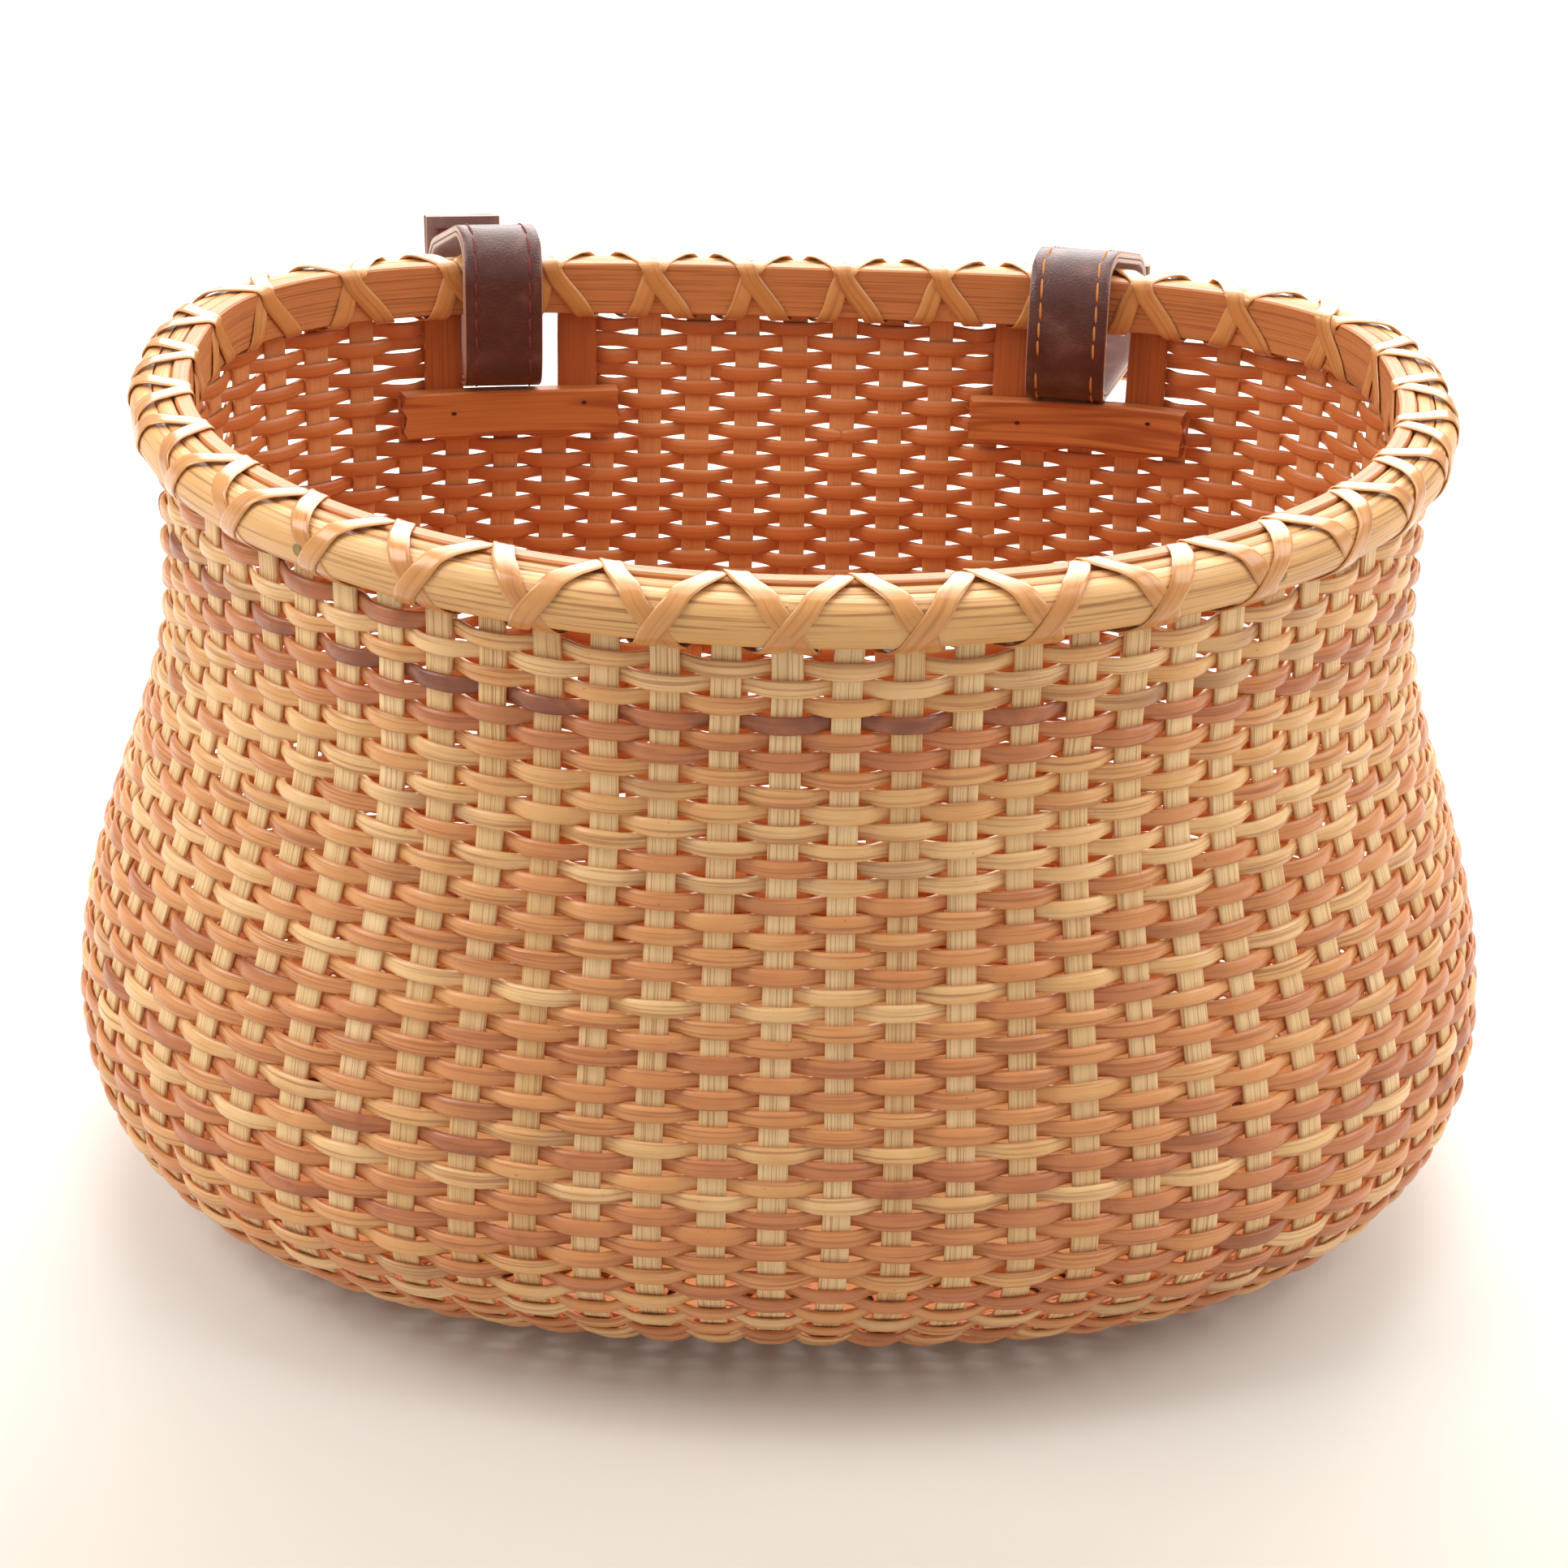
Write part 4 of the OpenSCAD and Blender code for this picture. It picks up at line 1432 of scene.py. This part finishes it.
    def lashing(self, name: str, node: str, way: int, finish: bpy.types.Material) -> bpy.types.Object:
        """Makes one lashing cane, wound right round the rim.

        Args:
            name: Name of the piece.
            node: Node that it replaces.
            way: 1 or -1, the way round that it is wound.
            finish: The cane's material.

        Returns:
            The cane.
        """
        rng = np.random.default_rng(20 + way)
        section, progress = self.section()
        m = len(section)
        slack = np.repeat(rng.uniform(-0.05, 0.05, self.turns), m)
        slack = np.convolve(np.concatenate([slack[-m:], slack, slack[:m]]), np.ones(m) / m, "same")[m:-m]
        turn = np.repeat(np.arange(self.turns), m) + np.tile(progress, self.turns)
        share = way * (turn + slack) / self.turns
        share = share - self.bunching * np.sin(2 * math.pi * share) / (2 * math.pi)
        inside = np.tile(np.exp(-(((section[:, 0] + 0.5 * MM) / (7 * MM)) ** 2)), self.turns)
        fall = np.tile(smooth(-section[:, 1], 3 * MM, 13 * MM), self.turns)
        share = share - self.inner_slant * inside * fall / self.turns
        shape = np.tile(section, (self.turns, 1))
        normal = np.stack([np.gradient(section[:, 1]), -np.gradient(section[:, 0])], 1)
        normal = np.tile(-unit(normal), (self.turns, 1))
        phase = np.tile(progress, self.turns)
        low_cross = np.minimum(phase, 1 - phase)
        high_cross = np.abs(phase - 0.5)
        over = high_cross if way > 0 else low_cross
        lift = self.cross_lift * self.cane_t * np.exp(-((over / self.cross_run) ** 2))
        shape = shape + normal * lift[:, None]
        flat, _, outward = self.bowl.rim_place(share)
        path = flat + outward * shape[:, :1] + UP * (self.bowl.rim_z + shape[:, 1:])
        out = unit(outward * normal[:, :1] + UP * normal[:, 1:])
        ahead = unit(np.roll(path, -1, 0) - np.roll(path, 1, 0))
        across = unit(np.cross(out, ahead))
        out = np.cross(ahead, across)
        outline = oval(self.cane_w / 2, self.cane_t / 2, 12, 0.6)
        wide = 1 + 0.05 * wander(np.arange(len(path)) * 1.0, rng, 3, 150.0)
        sheaf = Sheaf()
        sheaf.sweep(path, across, out, outline, tone=0.5 + 0.05 * way, width=wide, closed=True)
        made = sheaf.build(name, finish, 70)
        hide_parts(node)
        return made


@dataclass
class Strap:
    """A leather strap in its slot, closed round the bar with a buckle."""

    slot: Slot
    width: float = 20.0 * MM
    leather_t: float = 1.7 * MM
    lining_t: float = 1.3 * MM
    bar_r: float = 12.7 * MM
    bar_axis: tuple[float, float] = (31.5 * MM, 184 * MM)
    front_face: float = -3.2 * MM
    top_r: float = 9 * MM
    low_r: float = 7 * MM
    skew: float = 0.16
    bulge: tuple[float, float] = (0.4 * MM, 2.4 * MM)
    heel_turn: float = -14.0
    rivet_turn: float = -62.0
    frame_turn: float = -123.0
    buckle_len: float = 19 * MM
    wire_r: float = 1.3 * MM
    prong_r: float = 1.0 * MM
    stitch: float = 4.3 * MM
    stitch_gap: float = 0.5 * MM
    thread_half: tuple[float, float] = (0.33 * MM, 0.27 * MM)
    seam_in: float = 3.1 * MM
    # left strap, right strap
    top_over_rim: tuple[float, float] = (5.4 * MM, 2.8 * MM)
    tail_tops: tuple[float, float] = (200.8 * MM, 192.0 * MM)
    seats: tuple[float, float] = (-2.4 * MM, -3.2 * MM)
    wider: tuple[float, float] = (0.0, 0.5 * MM)
    low_over_bar: tuple[float, float] = (3.4 * MM, 3.5 * MM)

    def __post_init__(self) -> None:
        """Works out the round bends and the buckle's bars."""
        one = int(self.slot.side is Side.RIGHT)
        self.top_z = self.slot.bowl.rim_z + self.top_over_rim[one]
        self.tail_top = self.tail_tops[one]
        self.seat = self.seats[one]
        self.width += self.wider[one]
        low_z = self.slot.floor + self.low_over_bar[one]
        self.bends = [
            (np.array([self.front_face + self.low_r, low_z + self.low_r]), self.low_r),
            (np.array(self.bar_axis), self.bar_r),
            (np.array([self.front_face + self.top_r, self.top_z - self.top_r]), self.top_r),
        ]
        self.total = self.leather_t + self.lining_t
        a, f = math.radians(self.heel_turn), math.radians(self.frame_turn)
        reach = self.bar_r + self.total
        self.heel = np.array(self.bar_axis) + reach * np.array([math.cos(a), math.sin(a)])
        self.down = np.array([math.cos(f), math.sin(f)])
        self.aside = np.array([-self.down[1], self.down[0]])
        self.front_bar = self.heel + self.buckle_len * self.down

    def loop(self) -> tuple[np.ndarray, np.ndarray]:
        """The loop's inner face seen from the side, with its outward directions.

        Returns:
            Points (outwards, up) and their directions.
        """
        angles = []
        for i in range(3):
            (a, ra), (b, rb) = self.bends[i], self.bends[(i + 1) % 3]
            d = b - a
            tilt = math.asin((ra - rb) / np.linalg.norm(d))
            angles.append(math.atan2(d[1], d[0]) - math.pi / 2 + tilt)
        points, normals = [], []
        for i in range(3):
            centre, radius = self.bends[i]
            start, end = angles[i - 1], angles[i]
            while end < start:
                end += 2 * math.pi
            turn = np.linspace(start, end, 22)
            n = np.stack([np.cos(turn), np.sin(turn)], 1)
            points.append(centre + radius * n)
            normals.append(n)
            nxt, next_r = self.bends[(i + 1) % 3]
            n = np.array([math.cos(angles[i]), math.sin(angles[i])])
            f = np.linspace(0, 1, 16)[1:-1, None]
            points.append((centre + radius * n) * (1 - f) + (nxt + next_r * n) * f)
            normals.append(np.tile(n, (len(f), 1)))
        flat, normal = np.concatenate(points), np.concatenate(normals)
        swell = self.bulge[self.slot.side is Side.RIGHT]
        middle = (self.top_z + self.slot.floor) / 2
        near = np.exp(-(((flat[:, 1] - middle) / (11 * MM)) ** 2)) * (normal[:, 0] < -0.3)
        flat[:, 0] -= swell * near
        return flat, normal

    def solid(self, flat: np.ndarray, shift: np.ndarray | float = 0.0) -> np.ndarray:
        """Side-view points lifted to the slot's frame."""
        lean = self.seat + self.slot.side.value * self.skew * np.clip(flat[:, 0] + 1 * MM, 0, None)
        return self.slot.at(lean + shift, flat[:, 0], flat[:, 1])

    def heading(self, flat: np.ndarray) -> np.ndarray:
        """Side-view directions lifted to the slot's frame."""
        return flat[:, :1] * self.slot.out + flat[:, 1:] * UP

    def skin_outline(self, thick: float, grooves: bool) -> tuple[np.ndarray, np.ndarray]:
        """Outline of one leather layer, and its cut edges marked with 1.

        Args:
            thick: Thickness of the layer.
            grooves: Whether the seams are pressed in.

        Returns:
            The outline and its marks.
        """
        w, t = self.width / 2, thick / 2
        seam = w - self.seam_in
        right = np.array([seam * 0.4, seam - 0.6 * MM, seam, seam + 0.6 * MM, w - 0.35 * MM])
        xs = np.concatenate([-right[::-1], right])
        dip = np.where(np.abs(np.abs(xs) - seam) < 0.1 * MM, 0.18 * MM, 0.0) * grooves
        top = np.stack([xs, t - dip], 1)
        low = np.stack([xs[::-1], np.full(len(xs), -t)], 1)
        outline = np.vstack([[[-w, t * 0.5]], top, [[w, t * 0.5], [w, -t * 0.5]], low, [[-w, -t * 0.5]]])
        edge = (np.abs(outline[:, 0]) > w - 0.1 * MM).astype(float)
        return outline, edge

    def layer(
        self, sheaf: Sheaf, flat: np.ndarray, normal: np.ndarray, low: float, high: float,
        closed: bool, grooves: bool, seed: int,
    ) -> None:
        """Adds one leather layer between two distances from the loop's inner face.

        Args:
            sheaf: Strips that get the layer.
            flat: Side view of the loop's inner face or the tail's.
            normal: Its outward directions.
            low: Distance of the layer's inner side.
            high: Distance of the layer's outer side.
            closed: Whether it joins its own start.
            grooves: Whether the seams are pressed in.
            seed: Seed of its unevenness.
        """
        rng = np.random.default_rng(seed)
        run = np.arange(len(flat)) / len(flat)
        period = 1.0 if closed else 2.3
        loose = 0.12 * MM * wander(run, rng, 2, period)
        mid = flat + normal * ((low + high) / 2 + np.abs(loose)[:, None] * 0.5)
        shift = 0.25 * MM * wander(run, rng, 1, period)
        outline, edge = self.skin_outline(high - low, grooves)
        n = len(flat)
        sheaf.sweep(
            self.solid(mid, shift), np.tile(-self.slot.along, (n, 1)), self.heading(normal), outline,
            closed=closed, edge=edge, tone=0.5,
        )

    def tail(self) -> tuple[np.ndarray, np.ndarray]:
        """The tail's inner face seen from the side, with its outward directions.

        Returns:
            Points (outwards, up) and their directions.
        """
        radius = self.bar_r + self.total + 0.05 * MM
        turn = np.radians(np.linspace(-86, 0, 26))
        n = np.stack([np.cos(turn), np.sin(turn)], 1)
        arc = np.array(self.bar_axis) + radius * n
        z = np.linspace(self.bar_axis[1], self.tail_top, 16)[1:]
        lean = 0.9 * MM * smooth(z, self.bar_axis[1], self.tail_top)
        rise = np.stack([self.bar_axis[0] + radius + lean, z], 1)
        return np.vstack([arc, rise]), np.vstack([n, np.tile([[1.0, 0.0]], (len(rise), 1))])

    def stitches(
        self, sheaf: Sheaf, flat: np.ndarray, normal: np.ndarray, across: float, raise_: float
    ) -> None:
        """Adds a row of stitches that follows a side-view line.

        Args:
            sheaf: Strips that get the stitches.
            flat: The line, seen from the side.
            normal: Its outward directions.
            across: Distance from the strap's middle.
            raise_: Distance of the leather's face from the line.
        """
        steps = np.concatenate([[0.0], np.cumsum(np.linalg.norm(np.diff(flat, axis=0), axis=1))])
        count = int(steps[-1] / (self.stitch + self.stitch_gap))
        rng = np.random.default_rng(int(abs(across) * 1e6) + 5)
        for k in range(count):
            begin = k * (self.stitch + self.stitch_gap)
            s = np.linspace(begin, begin + self.stitch, 7)
            p = np.stack([np.interp(s, steps, flat[:, i]) for i in range(2)], 1)
            n = unit(np.stack([np.interp(s, steps, normal[:, i]) for i in range(2)], 1))
            arch = np.sin(np.linspace(0, math.pi, 7)) ** 0.5
            p = p + n * (raise_ - 0.22 * MM + 0.30 * MM * arch[:, None])
            skew = across + rng.uniform(-0.12, 0.12) * MM + np.linspace(-0.1, 0.1, 7) * MM
            path = self.solid(p, skew)
            sheaf.sweep(
                path, np.tile(self.slot.along, (7, 1)), self.heading(n), oval(*self.thread_half, 8, 1.0),
                width=0.35 + 0.65 * arch, depth=0.35 + 0.65 * arch,
            )

    def build(self, finishes: dict[str, bpy.types.Material]) -> dict[str, list[bpy.types.Object]]:
        """Makes the strap and its buckle.

        Args:
            finishes: Materials by name.

        Returns:
            The new pieces, by the body that they ride on.
        """
        word = self.slot.side.word
        seed = 50 + self.slot.side.value
        flat, normal = self.loop()
        tail, tail_n = self.tail()
        leather, lining, thread = Sheaf(), Sheaf(), Sheaf()
        self.layer(leather, flat, normal, self.lining_t, self.total, True, True, seed)
        self.layer(leather, tail, tail_n, self.lining_t, self.total, False, True, seed + 4)
        self.layer(lining, flat, normal, 0.0, self.lining_t, True, False, seed + 8)
        self.layer(lining, tail, tail_n, 0.0, self.lining_t, False, False, seed + 12)
        for across in (self.seam_in - self.width / 2, self.width / 2 - self.seam_in):
            self.stitches(thread, flat, normal, across, self.total)
            self.stitches(thread, tail[4:-2], tail_n[4:-2], across, self.total)
            back = -tail_n[20:-2]
            self.stitches(thread, tail[20:-2], back, across, 0.0)
        self.box_stitch(thread)
        rivet = self.rivet()
        pieces = [
            (rivet.build(f"strap_{word}_rivet_heads", finishes["rivet"], 50), "rivet"),
            (leather.build(f"strap_{word}_leather_loop", finishes["leather"], 60), "leather"),
            (lining.build(f"strap_{word}_lining_loop", finishes["lining"], 60), "lining"),
            (thread.build(f"strap_{word}_stitches", finishes[f"thread_{word}"], 80), "stitching"),
        ]
        for piece, part in pieces:
            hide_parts(f"strap_{word}_{part}")
        return {
            f"strap_{word}": [piece for piece, _ in pieces],
            f"buckle_{word}": [self.frame_wire(finishes["buckle"])],
            f"prong_{word}": [self.prong(finishes["buckle"])],
        }

    def rivet(self) -> Sheaf:
        """The copper rivet through both leathers, low at the back of the loop.

        Returns:
            Strips that hold the rivet.
        """
        sheaf = Sheaf()
        turn = math.radians(self.rivet_turn)
        way = np.array([math.cos(turn), math.sin(turn)])
        t = self.total / MM
        reach = np.array([-0.35, -0.15, 0.25, 0.3, t - 0.3, t - 0.25, t + 0.15, t + 0.35]) * MM
        radius = np.array([0.45, 0.85, 1.0, 0.45, 0.45, 1.0, 0.85, 0.45])
        line = np.array(self.bar_axis) + (self.bar_r + reach)[:, None] * way
        aside = np.tile([[-way[1], way[0]]], (len(line), 1))
        sheaf.sweep(
            self.solid(line), np.tile(self.slot.along, (len(line), 1)), self.heading(aside),
            oval(2.6 * MM, 2.6 * MM, 24, 1.0), width=radius, depth=radius,
        )
        return sheaf

    def box_stitch(self, sheaf: Sheaf) -> None:
        """Adds the rows across the tail's end, on both faces.

        Args:
            sheaf: Strips that get the stitches.
        """
        for face, way in ((self.bar_axis[0] + self.bar_r + self.total + 0.8 * MM, -1.0),
                          (self.bar_axis[0] + self.bar_r + 2 * self.total + 1.0 * MM, 1.0)):
            for k in range(3):
                a = np.linspace(0, self.stitch, 7) + (k - 1.5) * (self.stitch + 0.7 * MM)
                arch = np.sin(np.linspace(0, math.pi, 7)) ** 0.5
                out = face + way * (0.30 * arch - 0.18) * MM
                flat = np.stack([out, np.full(7, self.tail_top - 3.2 * MM)], 1)
                path = self.solid(flat, a)
                sheaf.sweep(
                    path, np.tile(UP, (7, 1)), np.tile(self.slot.out * way, (7, 1)),
                    oval(*self.thread_half, 8, 1.0), width=0.35 + 0.65 * arch,
                )

    def frame_wire(self, finish: bpy.types.Material) -> bpy.types.Object:
        """Makes the buckle's wire frame with rounded corners.

        Args:
            finish: The metal.

        Returns:
            The frame.
        """
        half = self.width / 2 + 2.3 * MM
        corner = 2.6 * MM
        path = []
        for sx, sy in ((1, 1), (-1, 1), (-1, 0), (1, 0)):
            base = {(1, 1): 0, (-1, 1): 90, (-1, 0): 180, (1, 0): 270}[(sx, sy)]
            cy = self.buckle_len - corner if sy else corner
            for a in np.radians(np.linspace(base, base + 90, 9)):
                path.append((sx * (half - corner) + corner * math.cos(a), cy + corner * math.sin(a)))
        flat = np.array(path)
        line = self.heel + flat[:, 1:] * self.down
        points = self.solid(line, flat[:, 0])
        normal = self.aside[0] * self.slot.out + self.aside[1] * UP
        ahead = unit(np.roll(points, -1, 0) - np.roll(points, 1, 0))
        out = np.tile(normal, (len(points), 1))
        sheaf = Sheaf()
        sheaf.sweep(points, np.cross(out, ahead), out, oval(self.wire_r, self.wire_r, 16, 1.0), closed=True)
        word = self.slot.side.word
        made = sheaf.build(f"buckle_{word}_wire", finish, 80)
        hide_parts(f"buckle_{word}_frame")
        return made

    def prong(self, finish: bpy.types.Material) -> bpy.types.Object:
        """Makes the prong: an eye round the heel bar and a bent tongue.

        Args:
            finish: The metal.

        Returns:
            The prong.
        """
        sheaf = Sheaf()
        turn = np.linspace(0, 2 * math.pi, 24, endpoint=False)
        ring = self.heel + 1.95 * MM * np.stack([np.cos(turn), np.sin(turn)], 1)
        sheaf.sweep(
            self.solid(ring), np.tile(self.slot.along, (24, 1)),
            self.heading(np.stack([np.cos(turn), np.sin(turn)], 1)), oval(1.0 * MM, 0.55 * MM, 10, 0.9),
            closed=True,
        )
        elbow = self.heel + self.aside * 6 * MM + self.down * 4.4 * MM
        tip = self.front_bar + self.aside * (self.wire_r + self.prong_r + 0.2 * MM) + self.down * 1.2 * MM
        start = self.heel + 1.9 * MM * unit(elbow - self.heel)
        t = np.linspace(0, 1, 16)[:, None]
        first = start + (elbow - start) * t
        second = elbow + (tip - elbow) * t
        line = np.vstack([first[:-3], second[2:]])
        line[1:-1] = 0.5 * line[1:-1] + 0.25 * (line[:-2] + line[2:])
        step = unit(np.gradient(line, axis=0))
        points = self.solid(line)
        sheaf.sweep(
            points, np.tile(self.slot.along, (len(points), 1)),
            self.heading(np.stack([-step[:, 1], step[:, 0]], 1)), oval(self.prong_r, 0.95 * MM, 12, 1.0),
            width=1 - 0.35 * smooth(np.linspace(0, 1, len(points)), 0.8, 1.0),
        )
        word = self.slot.side.word
        made = sheaf.build(f"buckle_{word}_tongue", finish, 80)
        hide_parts(f"buckle_{word}_prong")
        return made


@dataclass
class Studio:
    """Pale floor, soft lights and the camera."""

    tilt: float = 25.5
    distance: float = 0.85
    roll: float = 1.5
    target: tuple[float, float, float] = (0.0, 0.0084, 0.100)
    lens: float = 79.1925466
    sensor: float = 36.0
    sky: Colour = (1.0, 0.99, 0.975)
    sky_strength: float = 0.59
    floor_half: float = 6.0
    floor_drop: float = 0.4 * MM
    lamps: tuple[tuple[str, tuple[float, float, float], float, float, Colour], ...] = (
        # name, place, size, watts, colour
        ("left", (-1.05, -0.20, 1.05), 0.8, 12.0, (1.0, 0.985, 0.96)),
        ("right", (1.05, -0.10, 1.00), 1.0, 10.0, (1.0, 0.985, 0.965)),
        ("back", (0.10, 1.30, 1.05), 1.5, 32.0, (1.0, 0.985, 0.96)),
        ("top", (0.0, 0.25, 1.7), 1.2, 12.0, (1.0, 0.99, 0.97)),
    )

    def build(self, floor_finish: bpy.types.Material) -> None:
        """Puts everything round the basket.

        Args:
            floor_finish: The floor's material.
        """
        self.floor(floor_finish)
        self.world()
        for lamp in self.lamps:
            self.lamp(*lamp)
        self.camera()

    def floor(self, finish: bpy.types.Material) -> None:
        """Makes the floor.

        Args:
            finish: The floor's material.
        """
        mesh = bpy.data.meshes.new("floor")
        size = self.floor_half
        mesh.from_pydata([(-size, -size, 0), (size, -size, 0), (size, size, 0), (-size, size, 0)], [],
                         [(0, 1, 2, 3)])
        mesh.materials.append(finish)
        made = bpy.data.objects.new("floor", mesh)
        bpy.context.scene.collection.objects.link(made)
        made.location.z = -self.floor_drop

    def world(self) -> None:
        """Even light from all round."""
        world = bpy.data.worlds.new("studio")
        bpy.context.scene.world = world
        world.use_nodes = True
        back = world.node_tree.nodes["Background"]
        back.inputs[0].default_value = (*self.sky, 1.0)
        back.inputs[1].default_value = self.sky_strength

    def lamp(
        self, name: str, at: tuple[float, float, float], size: float, watts: float, colour: Colour
    ) -> None:
        """Adds a square soft light that faces the basket.

        Args:
            name: Name of the lamp.
            at: Its place.
            size: Length of its side.
            watts: Its power.
            colour: Colour of its light.
        """
        data = bpy.data.lights.new(name, "AREA")
        data.size = size
        data.energy = watts
        data.color = colour
        made = bpy.data.objects.new(name, data)
        bpy.context.scene.collection.objects.link(made)
        made.location = at
        aim = Vector((0.0, 0.0, 0.1)) - Vector(at)
        made.rotation_euler = aim.to_track_quat("-Z", "Y").to_euler()

    def camera(self) -> None:
        """Places the camera, tilted down and rolled a little."""
        e, roll = math.radians(self.tilt), math.radians(self.roll)
        back = Vector((0.0, -math.cos(e), math.sin(e)))
        right = Vector((1.0, 0.0, 0.0))
        up = Vector((0.0, math.sin(e), math.cos(e)))
        turned_right = right * math.cos(roll) + up * math.sin(roll)
        turned_up = up * math.cos(roll) - right * math.sin(roll)
        data = bpy.data.cameras.new("camera")
        data.sensor_width = self.sensor
        data.lens = self.lens
        data.clip_start = 0.01
        made = bpy.data.objects.new("camera", data)
        bpy.context.scene.collection.objects.link(made)
        spot = Vector(self.target) + back * self.distance
        made.matrix_world = Matrix.Translation(spot) @ Matrix(
            (turned_right, turned_up, back)
        ).transposed().to_4x4()
        bpy.context.scene.camera = made


def dress(node: str, material: bpy.types.Material) -> None:
    """Gives a CAD node that keeps its own shape a better finish.

    Args:
        node: Name of the node.
        material: Its new finish.
    """
    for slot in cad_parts[node].material_slots:
        slot.material = material


def main() -> None:
    """Builds the basket's pieces in order."""
    logging.basicConfig(level=logging.INFO, format="%(message)s")
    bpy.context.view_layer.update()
    bpy.context.scene.view_settings.view_transform = "Standard"
    finishes = {
        "reed": REED.make(), "stave": STAVE.make(), "hoop_flat": FLAT_HOOP.make(),
        "hoop_round": ROUND_HOOP.make(), "filler": FILLER.make(), "cane": CANE.make(),
        "post": POST.make(), "crossbar": PINE.make(), "leather": LEATHER.make(),
        "lining": LINING.make(), "thread_left": RED_THREAD.make(), "thread_right": GOLD_THREAD.make(),
        "buckle": STEEL.make(), "brad": BRAD.make(), "rivet": COPPER.make(),
    }
    bowl = Bowl()
    slots = [Slot(bowl, Side.LEFT), Slot(bowl, Side.RIGHT)]
    weave = Weave(bowl, slots)
    root_pieces = weave.build(finishes["reed"]) + weave.build_staves(finishes["stave"])
    root_pieces += Rim(bowl).build(finishes)
    for slot in slots:
        root_pieces += slot.build(finishes)
    for piece in root_pieces:
        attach(piece, "basket")
        log.info("%s on basket", piece.name)
    for slot in slots:
        for body, pieces in Strap(slot).build(finishes).items():
            for piece in pieces:
                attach(piece, body)
                log.info("%s on %s", piece.name, body)
    dress("base_board", BOARD.make())
    dress("rim_nails", NAIL.make())
    Studio().build(FLOOR.make())


if __name__ == "__main__":
    main()
